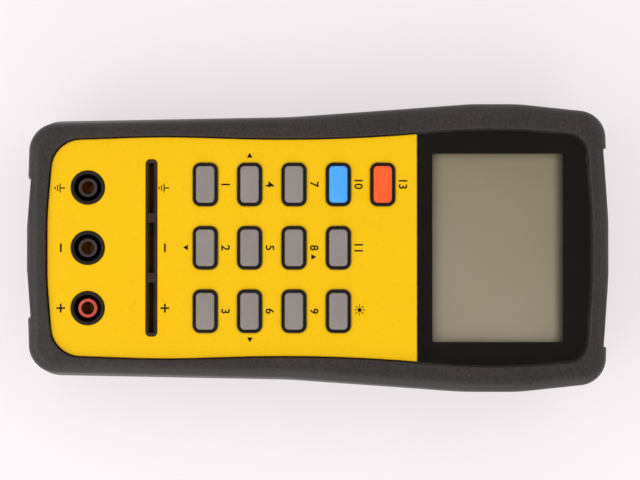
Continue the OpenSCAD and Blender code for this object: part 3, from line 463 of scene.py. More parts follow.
buzzer_pbt = moulded("moulded_buzzer_pbt", "#1a1a1b", "#222223", 0.45, 0.3, 0.01, 6)
snap_vinyl = moulded("soft_battery_snap_vinyl", "#1c1b1b", "#252423", 0.5, 0.4, 0.02, 6)
foam_grey = moulded("cut_polyether_foam", "#474749", "#525254", 0.9, 0.8, 0.3, 6, 0.2)
wire_red = moulded("extruded_red_pvc", "#b5281f", "#c03127", 0.4, 0.5, 0.01, 6)
wire_black = moulded("extruded_black_pvc", "#191817", "#21201f", 0.4, 0.5, 0.01, 6)
battery_jacket = moulded("printed_battery_jacket", "#4a5a68", "#566674", 0.35, 0.6, 0.01, 12)
led_epoxy = moulded("dark_tinted_led_epoxy", "#1c1a24", "#272432", 0.15, 0.6, 0.003, 3)
link_acrylic = moulded("dark_red_acrylic", "#2a0b0e", "#3a1014", 0.12, 0.6, 0.002, 8)
screw_steel = metal("rolled_zinc_plated_steel", "#b4b7bb", "#9da0a5", 0.32, 0.3, 0.006)
contact_brass = metal("turned_brass", "#b98d46", "#8f6a35", 0.3, 0.25, 0.006)
contact_bronze = metal("rolled_phosphor_bronze", "#b8854a", "#9a6c3a", 0.32, 0.25, 0.005)
shield_tin = metal("tinned_steel_sheet", "#c4c7c9", "#aaadb0", 0.28, 0.5, 0.006)
part_metal = metal("aluminium_can", "#9da1a5", "#85898e", 0.35, 0.4, 0.006)
print(len(bpy.data.materials), "materials so far")

# %% [markdown]
# ### Display, window and board
#
# A display that is off shows only its polariser, a satin film. Its colour is darker and
# more olive towards the left side and the head, and lighter and greyer towards the right
# side and the tail. A painted shade darkens it just under the head edge of the window,
# where little light gets in. The window is a pane of clear acrylic that lets shadow rays
# through, so that light reaches the display. The board is green varnish over copper
# tracks.

# %% Mix the display, window and board finishes
SLANT = -0.6
OLIVE_AT, GREY_AT = -0.075, 0.005
# Where the painted shade under the head edge of the window begins and where it is full, in
# metres.
PAINTED_SHADE_FROM, PAINTED_SHADE_TO = 0.0742, 0.0782


def polariser_film():
    """Satin polariser film over a plain display, with a painted shade under the window's head
    edge.
    """
    made, tree, where = new_material("polariser_film_and_painted_shade")
    split = add(tree, "SeparateXYZ", {"Vector": where})
    # The film is darker and more olive towards the left side and the head, and lighter and
    # greyer towards the right side and the tail.
    slant = add(tree, "Math", {
        0: split.outputs[1], 1: SLANT, 2: split.outputs[0]}, operation="MULTIPLY_ADD")
    across = add(tree, "MapRange", {
        "Value": slant.outputs[0], "From Min": OLIVE_AT, "From Max": GREY_AT},
        interpolation_type="SMOOTHSTEP")
    cloud = add(tree, "TexNoise", {"Vector": where, "Scale": 28.0, "Detail": 2.0})
    weave = add(tree, "TexNoise", {"Vector": where, "Scale": 4000.0, "Detail": 1.0})
    drift = add(tree, "Mix", {
        0: across.outputs[0], 6: linear("#80755b"), 7: linear("#ab9d90")}, data_type="RGBA")
    tint = add(tree, "Mix", {
        0: cloud.outputs[0], 6: drift.outputs[2], 7: linear("#998e76")}, data_type="RGBA")
    # Painted shade: the film turns dark brown in a band just under the head edge of the window,
    # where the window's edge shades it.
    edge = add(tree, "MapRange", {
        "Value": split.outputs[1], "From Min": PAINTED_SHADE_FROM, "From Max": PAINTED_SHADE_TO},
        interpolation_type="SMOOTHSTEP")
    shade_painted = add(tree, "Mix", {
        0: edge.outputs[0], 6: tint.outputs[2], 7: linear("#4a3f36")}, data_type="RGBA")
    gloss = add(tree, "MapRange", {"Value": weave.outputs[0], "To Min": 0.38, "To Max": 0.5})
    skin = add(tree, "BsdfPrincipled", {
        "Base Color": shade_painted.outputs[2], "Roughness": gloss.outputs[0],
        "Specular IOR Level": 0.35})
    add(tree, "OutputMaterial", {"Surface": skin.outputs[0]})
    return made


def clear_window():
    """Clear cast acrylic, with a faint ripple that is left by its mould."""
    made, tree, where = new_material("clear_cast_acrylic")
    ripple = add(tree, "TexNoise", {"Vector": where, "Scale": 60.0, "Detail": 1.0})
    bump = add(tree, "Bump", {
        "Height": ripple.outputs[0], "Distance": 0.00002, "Strength": 0.2})
    pane = add(tree, "BsdfPrincipled", {
        "Base Color": linear("#fcfcfa"), "Roughness": 0.04, "IOR": 1.49,
        "Transmission Weight": 1.0, "Normal": bump.outputs[0]})
    clear = add(tree, "BsdfTransparent", {"Color": linear("#fcfcfa")})
    path = add(tree, "LightPath", {})
    both = add(tree, "MixShader", {
        0: path.outputs["Is Shadow Ray"], 1: pane.outputs[0], 2: clear.outputs[0]})
    add(tree, "OutputMaterial", {"Surface": both.outputs[0]})
    return made


def varnished_board():
    """Green solder varnish over copper tracks about a millimetre apart."""
    made, tree, where = new_material("varnished_glass_epoxy_board")
    tracks = add(tree, "TexWave", {
        "Vector": where, "Scale": 150.0, "Distortion": 5.0, "Detail": 1.0})
    edge = add(tree, "MapRange", {
        "Value": tracks.outputs["Fac"], "From Min": 0.45, "From Max": 0.55})
    green = add(tree, "Mix", {
        0: edge.outputs[0], 6: linear("#23573a"), 7: linear("#2f7047")}, data_type="RGBA")
    bump = add(tree, "Bump", {"Height": edge.outputs[0], "Distance": 0.00004, "Strength": 0.5})
    skin = add(tree, "BsdfPrincipled", {
        "Base Color": green.outputs[2], "Roughness": 0.3, "Normal": bump.outputs[0]})
    add(tree, "OutputMaterial", {"Surface": skin.outputs[0]})
    return made


display_film_and_painted_shade = polariser_film()
window_acrylic = clear_window()
board_varnish = varnished_board()
print(len(bpy.data.materials), "materials in all")

# %% [markdown]
# ## The bumper
#
# A soft bumper wraps the case in two halves that meet halfway up. Its walls lean in a
# little, then round over in a quarter ellipse to a flat crest, and the crest stops at
# the yellow face with a small rounded lip. It is a loft: rings of the outline for the
# wall, then rings that are shared out between the top of the wall and the opening. Extra
# points along the straight sides let the rings follow the opening.

# %% Spread points along the outline
def nearest(point, loop):
    """The closest point to a point on a closed loop."""
    found = []
    for start, end in zip(loop, loop[1:] + loop[:1]):
        along = end - start
        share = (point - start).dot(along) / along.length_squared
        found.append(start + along * min(1, max(0, share)))
    return min(found, key=lambda p: (p - point).length)


SIDE_STOPS = [-80.5, -79, -77.5, -76, -74.5, -72, *range(-68, -19, 6), *range(0, 37, 6), 41,
              53, 56, 59, 70, 73, 75.5, 77.5, 79, 80.5]
TAIL_STOPS = [7, 11.5, 15, 19, 22, 22.35, 22.65, 24]
HEAD_STOPS = [7, 11.5, 16, 21, 26, 30, 30.9, 31.25, 31.55, 33]
LONG_EDGE = 8
APART = 0.5


def with_stops(points):
    """Add points along the straight sides, and at the ends where the recesses lie."""
    full = []
    for start, end in zip(points, points[1:] + points[:1]):
        full.append(start)
        if abs(end.y - start.y) > LONG_EDGE:
            full += [start.lerp(end, (y - start.y) / (end.y - start.y))
                     for y in sorted(SIDE_STOPS, reverse=end.y < start.y)
                     if min(start.y, end.y) + APART < y < max(start.y, end.y) - APART]
        elif abs(end.x - start.x) > LONG_EDGE:
            stops = TAIL_STOPS if start.y < 0 else HEAD_STOPS
            stops = sorted([-x for x in stops] + [0] + stops, reverse=end.x < start.x)
            full += [start.lerp(end, (x - start.x) / (end.x - start.x)) for x in stops
                     if min(start.x, end.x) + APART < x < max(start.x, end.x) - APART]
    return full


print("wall of the body has", len(with_stops(outline(BODY))), "points")

# %% [markdown]
# Both ends have shallow recesses between the corners. Holding the points of the wall
# back behind a slanting line makes them without a cut and keeps the loops clean.

# %% Shape the two halves of the bumper
RECESS_FROM = 7
TAIL_RECESS_TO, TAIL_RECESS_DEPTH = 22.4, 1.2
HEAD_RECESS_TO, HEAD_RECESS_DEPTH = 31.3, 2.0
SHOULDER = 0.1


def recessed(point, inset):
    """Hold a point of the wall back where an end has its recess; both lean in alike."""
    x, y = abs(point.x), point.y
    if RECESS_FROM < x < TAIL_RECESS_TO + SHOULDER and y < 0:
        slope = TAIL_RECESS_DEPTH / (TAIL_RECESS_TO - RECESS_FROM)
        y = max(y, -HALF_LENGTH + inset + slope * (x - RECESS_FROM))
    if RECESS_FROM < x < HEAD_RECESS_TO + SHOULDER and y > 0:
        slope = HEAD_RECESS_DEPTH / (HEAD_RECESS_TO - RECESS_FROM)
        y = min(y, HALF_LENGTH - inset - slope * (x - RECESS_FROM))
    return Vector((point.x, y))


def shoulder_drop(depth, width, height):
    """How far the round shoulder lies under its crest, depth in from its outer edge."""
    if depth >= width:
        return 0.0
    return height * (1 - math.sqrt(1 - (1 - max(depth, 0) / width) ** 2))


SEAM = 24.0
SEAM_EDGE = [(0.35, 0.0), (0.1, 0.1), (0.0, 0.35)]
LIP = 0.45
CREST_H = 1.5
WALL_STEPS, SHOULDER_STEPS, LIP_STEPS = 8, 12, 4


def bumper_loops(draft, width, height, skin, opening, level):
    """Loops of one half, from the seam over the crest and back down inside the wall."""
    in_front = level(0, 0) > SEAM
    edge = with_stops(outline(BODY, draft))
    rim = [nearest(p, opening) for p in edge]
    reach = [(b - a).length for a, b in zip(edge, rim)]
    loops = []
    for inset, rise in SEAM_EDGE:
        ring = [recessed(p, inset) for p in with_stops(outline(BODY, inset))]
        loops.append(at_height(ring, SEAM + rise if in_front else SEAM - rise))
    for k in range(1, WALL_STEPS + 1):
        inset = draft * k / WALL_STEPS
        ring = with_stops(outline(BODY, inset))
        loops.append([(p.x, p.y, SEAM + (level(q.y, height) - SEAM) * k / WALL_STEPS)
                      for q, p in zip(ring, (recessed(q, inset) for q in ring))])

    def crown(depths, drops):
        """Add a ring over the top, at its own depth and drop at every point."""
        ring = []
        for a, b, far, depth, drop in zip(edge, rim, reach, depths, drops):
            p = a.lerp(b, depth / far)
            z = level(p.y, drop)
            p = recessed(p, draft * (z - SEAM) / (level(p.y, height) - SEAM))
            ring.append((p.x, p.y, z))
        loops.append(ring)

    shares = [1 - math.cos(math.pi / 2 * k / SHOULDER_STEPS) for k in range(SHOULDER_STEPS + 1)]
    for share in shares[1:]:
        depths = [share * min(width, far - LIP) for far in reach]
        crown(depths, [shoulder_drop(d, width, height) for d in depths])
    for k in range(LIP_STEPS + 1):
        turn = math.pi / 2 * k / LIP_STEPS
        crown([far - LIP + LIP * math.sin(turn) for far in reach],
              [shoulder_drop(far - LIP, width, height) + LIP * (1 - math.cos(turn))
               for far in reach])
    lift = CREST_H if in_front else skin
    for share in reversed(shares):
        depths = [skin + (far - skin) * share for far in reach]
        crown(depths, [lift + shoulder_drop(d - skin, width, height) for d in depths])
    loops.append(at_height(with_stops(outline(BODY, skin)), SEAM))
    return loops


FACE_GAP = 0.45
face_opening = [Vector((p.x, p.y * math.cos(TILT))) for p in outline(OPENING, -FACE_GAP)]
back_opening = outline(oblong(66.2, 153.7, 6.1, 12, y=0.25))
bm = bmesh.new()
add_wall(bm, bumper_loops(draft=1.8, width=4, height=5, skin=2, opening=face_opening,
                          level=lambda y, drop: face_height(y, CREST_H - drop)), closed=True)
front_bumper = make_piece("front_bumper_skin", bm, bumper_rubber,
                          place=UPRIGHT, stands_for=("front_bumper",))
bm = bmesh.new()
add_wall(bm, bumper_loops(draft=1.5, width=4.5, height=7, skin=2, opening=back_opening,
                          level=lambda y, drop: drop), closed=True)
rear_bumper = make_piece("rear_bumper_skin", bm, bumper_rubber,
                         place=UPRIGHT, stands_for=("rear_bumper",))

# %% [markdown]
# The supply jack, the link window and the four case screws need openings in the bumper.
# Each is cut with a closed tool by a Boolean modifier that is applied at once, so the
# tool can be thrown away.

# %% Cut openings with a throw-away tool
def cut_out(piece, place, shapes, low, high):
    """Cut shapes that are raised between two heights out of a piece."""
    bm = bmesh.new()
    for shape in shapes:
        add_solid(bm, rings_of([(shape, 0, low), (shape, 0, high)]))
    bmesh.ops.recalc_face_normals(bm, faces=bm.faces)
    bm.transform(TO_METRES @ place)
    tool = new_object("tool", bm)
    cut = piece.modifiers.new("cut", "BOOLEAN")
    cut.operation = "DIFFERENCE"
    cut.solver = "EXACT"
    cut.object = tool
    for other in piece.modifiers:
        other.show_viewport = other == cut
    result = final_mesh(piece)
    for other in piece.modifiers:
        other.show_viewport = True
    piece.modifiers.remove(cut)
    old, piece.data = piece.data, result
    bpy.data.meshes.remove(old)
    bpy.data.meshes.remove(tool.data)
    print(piece.name, "has", len(piece.data.polygons), "faces after the cut")


JACK_V, JACK_H = 40, -16.6
SIDEWAYS = FACE @ Matrix.Translation((0, JACK_V, JACK_H)) @ Matrix.Rotation(math.pi / 2, 4, "Y")
cut_out(front_bumper, SIDEWAYS, [oblong(10, 10, 4.999, 12)], 36, 60)

BOARD_LOW_H, LED_DROP = -10.6, 6.4
LINK_Z = FACE_Z + (HALF_LENGTH - 10) * math.sin(TILT) + BOARD_LOW_H - LED_DROP
HEADWARDS = Matrix.Translation((0, 0, LINK_Z)) @ Matrix.Rotation(-math.pi / 2, 4, "X")
cut_out(front_bumper, HEADWARDS, [oblong(18, 9, 2, 6)], 86, 99)

CASE_SCREWS = [(30, -82), (-30, -82), (36, 83), (-36, 83)]
cut_out(rear_bumper, UPRIGHT, [oblong(6.6, 6.6, 3.299, 10, x, y) for x, y in CASE_SCREWS],
        -1, 3.2)

# %% [markdown]
# ## The yellow face
#
# The face is a yellow plate with an opening for every key, the slot and the sockets.

# %% Place the keys, sockets and slot on the face
FIRST_ROW = -35.492
COLUMN_PITCH, ROW_PITCH = 20, 14
ROWS = [("key_enter", "key_relative", "key_hold"),
        ("key_parameter", "key_setup", "key_series_parallel"),
        ("key_sorting", "key_link", "key_calibrate"),
        ("key_auto", "key_frequency", "key_backlight"),
        ("key_power",)]
SHADES = {"key_power": "red", "key_auto": "blue"}
KEYS = [(name, COLUMN_PITCH * (column - 1), FIRST_ROW + ROW_PITCH * row,
         SHADES.get(name, "grey"))
        for row, names in enumerate(ROWS) for column, name in enumerate(names)]
SOCKET_PITCH = 19.05
SOCKETS = [("guard", -SOCKET_PITCH), ("low", 0.0), ("high", SOCKET_PITCH)]
SLOT_V = -52.5268
low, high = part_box("key_relative")
print("middle key is centred at", 500 * (low + high))

# %% [markdown]
# Each opening has the same small rounded edge as the outside, which is what catches the
# light, so the plate is built as rings: one set for the outside, one for each opening,
# and two flat caps that join them.

# %% Build the plate with its openings
EDGE_STEPS = 3


def plate(outer, holes, low_h, high_h, edge):
    """A closed plate with rounded upper edges; outer gives the outside for any inset."""
    levels = [(0.0, low_h)] + round_edge(edge, edge, high_h, EDGE_STEPS)
    shapes = [outer] + [lambda inset, hole=hole: outline(hole, -inset) for hole in holes]
    bm = bmesh.new()
    add_solid(bm, *([at_height(shape(inset), h) for inset, h in levels] for shape in shapes))
    return bm


def label_edge(inset):
    """The outside of the label."""
    return part_of(OPENING, inset, high=SPLIT - SPLIT_GAP / 2)


PANEL_LOW_H = -1.2
holes = [oblong(13.7, 7.9, 2.35, 8, x, v) for _, x, v, _ in KEYS]
holes += [oblong(10.8, 10.8, 5.399, 14, x, SOCKET_V) for _, x in SOCKETS]
holes += [oblong(56.0, 3.7, 1.45, 6, 0, SLOT_V)]
make_piece("yellow_face", plate(label_edge, holes, PANEL_LOW_H, 0.0, 0.22), label_film,
           stands_for=("face_panel",))

# %% [markdown]
# ## Window and display mask
#
# The head of the face is a clear acrylic window. Its back is printed black all round
# the display, and is seen through a millimetre of acrylic.

# %% Build the window and the printed mask
def window_edge(inset):
    """The outside of the window."""
    return part_of(OPENING, inset, low=SPLIT + SPLIT_GAP / 2)


PANE_LOW_H, MASK_TOP_H = -1.0, -1.02
DISPLAY_V = 56.85
make_piece("clear_window_pane", plate(window_edge, [], PANE_LOW_H, 0.0, 0.15), window_acrylic,
           stands_for=("display_lens",))
display_cut = oblong(59.5, 41.2, 0.6, 6, 0, DISPLAY_V)
make_piece("printed_display_mask",
           plate(window_edge, [display_cut], PANEL_LOW_H, MASK_TOP_H, 0.02), mask_ink,
           stands_for=("lens_mask",))

# %% [markdown]
# ## Keys and their frames
#
# Each key is a hard cap on a silicone mat, guided by a raised black frame. The cap has
# a round edge and a slightly crowned top, which catch a line of light. Below the face it
# widens into a flange that keeps it in.

# %% Shape the keycaps
PLUG_LOW_H, FLANGE_LOW_H, FLANGE_TOP_H = -8.1, -4.35, -3.35
CAP_ROUND_W, CAP_ROUND_H, CAP_EDGE_H, CAP_STEPS = 0.5, 0.45, 1.2, 5
CROWN = [(1.1, 1.25), (1.9, 1.285), (2.7, 1.3)]


def keycap(x, v):
    """A crowned cap with its flange and plug, from the bottom up."""
    plug = oblong(8.6, 3.8, 0.8, 6, x, v)
    flange = oblong(13.6, 7.8, 1.3, 6, x, v)
    cap = oblong(11.6, 5.8, 1.3, 6, x, v)
    levels = [(plug, 0, PLUG_LOW_H), (plug, 0, FLANGE_LOW_H), (flange, 0, FLANGE_LOW_H),
              (flange, 0, FLANGE_TOP_H), (cap, 0, FLANGE_TOP_H)]
    top = round_edge(CAP_ROUND_W, CAP_ROUND_H, CAP_EDGE_H, CAP_STEPS) + CROWN
    bm = bmesh.new()
    add_solid(bm, rings_of(levels + [(cap, inset, h) for inset, h in top]))
    return bm


KEY_FINISH = {"red": key_red, "blue": key_blue, "grey": key_grey}
for name, x, v, shade in KEYS:
    make_piece(name + "_cap", keycap(x, v), KEY_FINISH[shade], body=name,
               stands_for=(name,), sharp=60)

# %% [markdown]
# A frame is a closed ring, round along both of its upper edges.

# %% Raise a frame round every key
FRAME_LOW_H, FRAME_TOP_H, FRAME_STEPS = -1.15, 0.75, 4
OUTER_EDGE = round_edge(0.35, 0.35, FRAME_TOP_H, FRAME_STEPS)
INNER_EDGE = round_edge(0.25, 0.25, FRAME_TOP_H, FRAME_STEPS)
bm = bmesh.new()
for _, x, v, _ in KEYS:
    outer = oblong(13.66, 7.86, 2.33, 8, x, v)
    inner = oblong(11.84, 6.04, 1.42, 8, x, v)
    add_wall(bm, rings_of([(outer, 0, FRAME_LOW_H)] + [(outer, r, h) for r, h in OUTER_EDGE]
                          + [(inner, -r, h) for r, h in reversed(INNER_EDGE)]
                          + [(inner, 0, FRAME_LOW_H)]), closed=True)
make_piece("key_frames", bm, frame_abs)

# %% [markdown]
# ## Sockets
#
# A 4 mm safety socket is three turned parts: a black shroud that keeps fingers off, a
# coloured sleeve that marks the terminal, and a brass contact. A profile is a list of
# corners (radius, height, fillet, steps), with small fillets as on the real part.

# %% Turn the shrouds, sleeves and contacts
for name, x in SOCKETS:
    bm = bmesh.new()
    add_turned(bm, [(5.3, -9.0, 0.1, 3), (5.3, -3.31, 0, 0), (5.3, 0.4, 0.3, 6),
                    (4.25, 0.4, 0.35, 6), (4.25, -7.5, 0.2, 4), (2.55, -7.5, 0.1, 3),
                    (2.55, -9.0, 0.1, 3)], 72, x, SOCKET_V)
    make_piece(name + "_socket_shroud", bm, socket_nylon,
               stands_for=(name + "_socket",))
    bm = bmesh.new()
    add_turned(bm, [(3.0, -7.5, 0.05, 2), (3.0, -0.3, 0.2, 5), (2.06, -0.3, 0.1, 4),
                    (2.06, -0.57, 0.05, 2), (2.54, -0.57, 0, 0), (2.54, -7.5, 0.05, 2)],
               64, x, SOCKET_V)
    finish, slot = (sleeve_red, "socket_red") if name == "high" \
        else (sleeve_nylon, "socket_black")
    make_piece(name + "_socket_sleeve", bm, finish, stands_for=(name + "_sleeve",))
    bm = bmesh.new()
    add_turned(bm, [(0.0, -16.6, 0, 0), (2.5, -16.6, 0.15, 3), (2.5, -11.2, 0, 0),
                    (3.3, -11.2, 0.1, 2), (3.3, -10.6, 0.1, 2), (2.5, -10.6, 0, 0),
                    (2.5, -0.6, 0.12, 4), (2.0, -0.6, 0.2, 5), (2.0, -15.6, 0.2, 3),
                    (0.0, -15.6, 0, 0)], 64, x, SOCKET_V)
    make_piece(name + "_socket_contact", bm, contact_brass,
               stands_for=(name + "_contact",))

# %% [markdown]
# ## Component slot
#
# Three slits take the legs of a loose component. The block is one dark moulding whose
# lips slope into each slit. The slits are real openings with the spring contacts below.

# %% Mould the slot block
BLOCK_LOW_H, BLOCK_TOP_H, MOUTH_LOW_H = -3.3, 0.3, -0.7
SLIT_L, SLIT_PITCH = 15.8, 18.9
block = oblong(55.7, 3.4, 1.3, 6, 0, SLOT_V)
walls = [rings_of([(block, 0, BLOCK_LOW_H), (block, 0, 0.1), (block, 0.06, 0.24),
                   (block, 0.2, BLOCK_TOP_H)])]
for x in (-SLIT_PITCH, 0, SLIT_PITCH):
    slit = oblong(SLIT_L, 0.9, 0.12, 3, x, SLOT_V)
    mouth = oblong(SLIT_L, 2.3, 0.12, 3, x, SLOT_V)
    walls.append(rings_of([(slit, 0, BLOCK_LOW_H), (slit, 0, MOUTH_LOW_H), (mouth, 0, 0.22),
                           (mouth, -0.06, BLOCK_TOP_H)]))
bm = bmesh.new()
add_solid(bm, *walls)
make_piece("slot_block", bm, slot_pbt, stands_for=("slot_body",))

# %% [markdown]
# ## Printed marks
#
# The marks on the face are ink, a few hundredths of a millimetre thick. They are plain
# numbers over the keys, small arrows between them, a sun over the key for the light, and
# plus, minus and ground signs at the terminals.

# %% Draw numbers, spots and bars
INK = 0.024


def add_number(bm, text, x, v, height):
    """Add a number of the given height, centred on a point."""
    letters = bpy.data.curves.new("number", "FONT")
    letters.body = text
    letters.size = 3
    letters.offset = 0.055
    letters.extrude = INK / 2
    letters.resolution_u = 6
    shown = bpy.data.objects.new("number", letters)
    scene.collection.objects.link(shown)
    mesh = final_mesh(shown)
    bpy.data.objects.remove(shown)
    xs = [c.co.x for c in mesh.vertices]
    ys = [c.co.y for c in mesh.vertices]
    size = height / (max(ys) - min(ys))
    centre = Vector(((min(xs) + max(xs)) / 2, (min(ys) + max(ys)) / 2, 0))
    flat = Matrix.Diagonal((size, size, 1, 1))
    mesh.transform(Matrix.Translation((x, v, INK / 2)) @ flat @ Matrix.Translation(-centre))
    bm.from_mesh(mesh)
    bpy.data.meshes.remove(mesh)


def add_disc(bm, x, v, radius, segments, angle=0):
    """A flat triangle or round spot."""
    place = Matrix.Translation((x, v, INK / 2)) @ Matrix.Rotation(math.radians(angle), 4, "Z")
    bmesh.ops.create_cone(bm, cap_ends=True, segments=segments, radius1=radius, radius2=radius,
                          depth=INK, matrix=place)


def add_bar(bm, low, high, lift=0.0):
    """A flat bar between two corners (x, y)."""
    low, high = Vector((*low, lift)), Vector((*high, lift + INK))
    place = Matrix.Translation((low + high) / 2) @ Matrix.Diagonal((*(high - low), 1))
    bmesh.ops.create_cube(bm, size=1, matrix=place)


# %% [markdown]
# Where two bars cross, one stands a micrometre higher, so that their tops are apart.

# %% Print numbers, arrows and signs
NUMBER_V, NUMBER_HEIGHT = 6.4, 2.7
ARROWS = ((-29.0, -21.5, 90), (28.8, -21.4, -90), (-0.1, -41.5, 180), (2.9, -1.5, 0))
ARROW_R = 1.05
HALF_STROKE = 0.28
RAY_L, RAY_W = 0.85, 0.28
ABOVE = 0.001
bm = bmesh.new()
for number, (name, x, v, _) in enumerate(KEYS, 1):
    if name != "key_backlight":
        add_number(bm, str(number), x, v + NUMBER_V, NUMBER_HEIGHT)
for x, v, angle in ARROWS:
    add_disc(bm, x, v, ARROW_R, 3, angle)
plus_x, ground_x = SOCKET_PITCH, -SLIT_PITCH
for v in (-48.25, -81.15):
    add_bar(bm, (-1.35, v - HALF_STROKE), (1.35, v + HALF_STROKE))
    add_bar(bm, (plus_x - 1.4, v - HALF_STROKE), (plus_x + 1.4, v + HALF_STROKE))
    add_bar(bm, (plus_x - HALF_STROKE, v - 1.4), (plus_x + HALF_STROKE, v + 1.4), ABOVE)
    for k, half in enumerate((1.4, 0.9, 0.45)):
        low_v = v - 0.8 * k
        add_bar(bm, (ground_x - half, low_v - 0.45), (ground_x + half, low_v - 0.1))
    add_bar(bm, (ground_x - 0.2, v - 0.2), (ground_x + 0.2, v + 1.3), ABOVE)
SUN = Vector((19.6, 13.2, INK / 2))
add_disc(bm, SUN.x, SUN.y, 0.65, 20)
for k in range(8):
    ray = Matrix.Translation(SUN) @ Matrix.Rotation(k * math.pi / 4, 4, "Z") \
        @ Matrix.Translation((1.3, 0, 0)) @ Matrix.Diagonal((RAY_L, RAY_W, INK, 1))
    bmesh.ops.create_cube(bm, size=1, matrix=ray)
make_piece("printed_marks", bm, label_ink, sharp=30)

# %% [markdown]
# ## Back, stand and door
#
# These parts are right in the CAD model, but their corners are sharp. A copy of each is
# cleaned of the triangles that split its flat faces, then every real corner gets a
# round that catches the light. The volume is printed before and after, because a bad
# bevel shows up there.

# %% Round the corners of the parts on the back and the sides
FLAT_DEG, CORNER_DEG = 3, 35


def softened(node, name, radius, material, body="case"):
    """Copy the mesh of a CAD node, merge its flat faces and round its corners."""
    bm = bmesh.new()
    bm.from_mesh(nodes[node].data)
    bm.transform(Matrix.Scale(1000, 4) @ nodes[node].matrix_world)
    bmesh.ops.remove_doubles(bm, verts=bm.verts, dist=0.002)
    before = bm.calc_volume(signed=True)
    bmesh.ops.dissolve_limit(bm, angle_limit=math.radians(FLAT_DEG), verts=bm.verts,
                             edges=bm.edges)
    corners = [edge for edge in bm.edges if len(edge.link_faces) == 2
               and edge.calc_face_angle() > math.radians(CORNER_DEG)]
    bmesh.ops.bevel(bm, geom=corners, offset=radius, segments=2, profile=0.5,
                    affect="EDGES", clamp_overlap=True)
    after = bm.calc_volume(signed=True)
    print(name, "volume went from", round(before, 1), "to", round(after, 1))
    return make_piece(name, bm, material, body=body, place=UPRIGHT, stands_for=(node,),
                      sharp=40)


softened("tilt_stand", "tilt_stand_skin", 0.35, stand_abs, body="stand")
softened("battery_door", "battery_door_skin", 0.15, door_abs, body="door")
softened("infrared_window", "link_window_skin", 0.2, link_acrylic)
softened("dc_jack", "supply_jack_skin", 0.12, jack_pbt)

# %% [markdown]
# ## Nodes that keep their CAD shape
#
# Parts deep inside, and parts whose CAD shape is already right, only need a finish. The
# material goes into every slot of the node's object.

# %% Give the remaining nodes their finish
NODE_FINISH = {
    "front_case": case_abs, "rear_case": case_abs, "case_screws": screw_steel,
    "lcd_glass": display_film_and_painted_shade, "lcd_backlight": guide_acrylic, "lcd_holder": holder_abs,
    "zebra_strips": zebra_rubber, "key_mat": mat_silicone, "main_board": board_varnish,
    "board_chips": chip_epoxy, "board_parts": part_metal, "shield_can": shield_tin,
    "buzzer": buzzer_pbt, "board_screws": screw_steel, "guard_slot_contact": contact_bronze,
    "low_slot_contact": contact_bronze, "high_slot_contact": contact_bronze,
    "dc_pin": screw_steel, "infrared_emitters": led_epoxy, "door_screw": screw_steel,
    "battery": battery_jacket, "battery_snap": snap_vinyl, "battery_foam": foam_grey,
    "lead_red": wire_red, "lead_black": wire_black}
for name, finish in NODE_FINISH.items():
    slots = nodes[name].data.materials
    for i in range(len(slots)):
        slots[i] = finish
    if not slots:
        slots.append(finish)
print(len(NODE_FINISH), "nodes keep their CAD shape")

# %% [markdown]
# ## Floor and light
#
# The tester lies on a pale table. Camera rays, and those in a mirror or through the
# window, find the floor half lifted to its own pale colour, which thins the shadow as a
# light table would, without any light on the part. The floor lies a hair under the
# tester, so that their surfaces don't share a plane.

# %% Lay the floor
FLOOR_LIFT = 0.55
FLOOR_Z = -0.0001


def straight_ray(tree):
    """1 for camera rays and for those in a mirror or through glass, 0 for the others."""
    seen = add(tree, "LightPath", {})
    mirrored = add(tree, "Math", {
        0: seen.outputs["Is Camera Ray"], 1: seen.outputs["Is Glossy Ray"]},
        operation="MAXIMUM")
    through = add(tree, "Math", {
        0: mirrored.outputs[0], 1: seen.outputs["Is Transmission Ray"]}, operation="MAXIMUM")
    return through.outputs[0]


floor_finish, tree, where = new_material("pale_laminate_table")
mottle = add(tree, "TexNoise", {"Vector": where, "Scale": 12.0, "Detail": 4.0})
fibre = add(tree, "TexNoise", {"Vector": where, "Scale": 900.0, "Detail": 2.0})
tone = add(tree, "Mix", {
    0: mottle.outputs[0], 6: linear("#f7f1f5"), 7: linear("#f5eff2")},
    data_type="RGBA").outputs[2]
bump = add(tree, "Bump", {"Height": fibre.outputs[0], "Distance": 0.00003, "Strength": 0.3})
skin = add(tree, "BsdfPrincipled", {
    "Base Color": tone, "Roughness": 0.8, "Specular IOR Level": 0.1, "Normal": bump.outputs[0]})
glow = add(tree, "Emission", {"Color": tone, "Strength": 1.0})
lifted = add(tree, "Math", {0: straight_ray(tree), 1: FLOOR_LIFT}, operation="MULTIPLY")
both = add(tree, "MixShader", {0: lifted.outputs[0], 1: skin.outputs[0], 2: glow.outputs[0]})
add(tree, "OutputMaterial", {"Surface": both.outputs[0]})
bm = bmesh.new()
bmesh.ops.create_grid(bm, x_segments=2, y_segments=2, size=2.0)
floor = new_object("floor", bm)
floor.data.materials.append(floor_finish)
floor.location.z = FLOOR_Z
floor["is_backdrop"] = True
print("floor is", [round(d, 2) for d in floor.dimensions], "m")

# %% [markdown]
# Most of the light comes from a pale world that is dim near the horizon, bright above 45
# degrees and dark straight overhead, where the camera hangs, so that shadows stay short
# and glossy parts stay dark. Camera rays, and those in a mirror or through the window,
# find it evenly pale apart from the dark patch. Three wide lamps lean in: a strong one
# from the tail end, a low one from the right, which draws a light line along that side
# of the bumper, and a weak one from the head end. Together they light a level surface
# so that a colour renders as it is written.

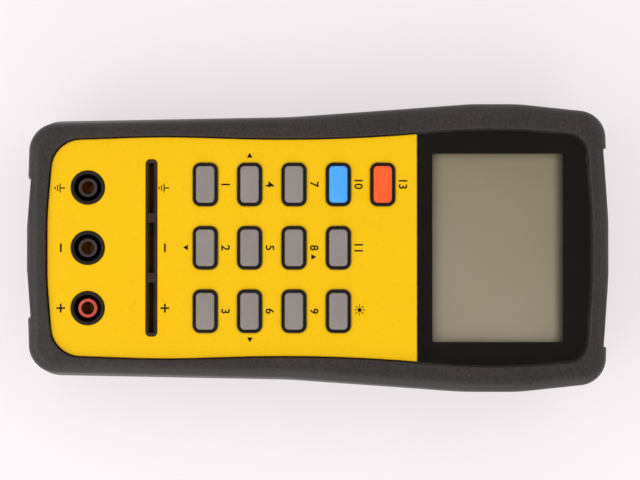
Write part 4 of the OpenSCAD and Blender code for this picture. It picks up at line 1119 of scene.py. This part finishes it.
# %% Light the scene
LOW_LIGHT, HIGH_LIGHT = 0.3, 1.34
OVERHEAD = 0.05
BACKDROP = 0.93
world = bpy.data.worlds.new("soft tent")
scene.world = world
world.use_nodes = True
tree = world.node_tree
tree.nodes.clear()
direction = add(tree, "TexCoord", {}).outputs["Generated"]
split = add(tree, "SeparateXYZ", {"Vector": direction})
ring = add(tree, "MapRange", {
    "Value": split.outputs[2], "From Min": 0.5, "From Max": 0.7, "To Min": LOW_LIGHT,
    "To Max": HIGH_LIGHT}, interpolation_type="SMOOTHSTEP")
shade = add(tree, "MapRange", {
    "Value": split.outputs[2], "From Min": 0.925, "From Max": 0.985, "To Min": 1.0,
    "To Max": OVERHEAD}, interpolation_type="SMOOTHSTEP")
strength = add(tree, "Math", {0: ring.outputs[0], 1: shade.outputs[0]}, operation="MULTIPLY")
backdrop = add(tree, "Math", {0: shade.outputs[0], 1: BACKDROP}, operation="MULTIPLY")
pale = add(tree, "Mix", {0: straight_ray(tree), 2: strength.outputs[0], 3: backdrop.outputs[0]})
tent = add(tree, "Background", {"Color": linear("#fffdfb"), "Strength": pale.outputs[0]})
add(tree, "OutputWorld", {"Surface": tent.outputs[0]})

for name, place, watts in (("head lamp", (-0.3, 0.75, 0.9), 1.2),
                           ("tail lamp", (0.2, -0.65, 0.6), 3.0),
                           ("side lamp", (0.9, 0.1, 0.3), 2.6)):
    lamp = bpy.data.objects.new(name, bpy.data.lights.new(name, "AREA"))
    lamp.data.shape = "RECTANGLE"
    lamp.data.size = 0.9
    lamp.data.size_y = 0.7
    lamp.data.energy = watts
    lamp.location = place
    lamp.rotation_euler = (-lamp.location).to_track_quat("-Z", "Y").to_euler()
    scene.collection.objects.link(lamp)
    print(name, "is", round(lamp.location.length, 2), "m away")

# %% [markdown]
# ## Compare the box with the CAD model
#
# Dressing should not change the size of the tester, so each corner of the dressed box is
# printed as its distance from the CAD box, in millimetres.

# %% Print how far the box is from the CAD box
seen_box = [list(corner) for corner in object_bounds()]
for low_or_high, cad, seen in zip(("lowest", "highest"), cad_box, seen_box):
    print(low_or_high, [round(1000 * (s - c), 3) for c, s in zip(cad, seen)], "mm from CAD")
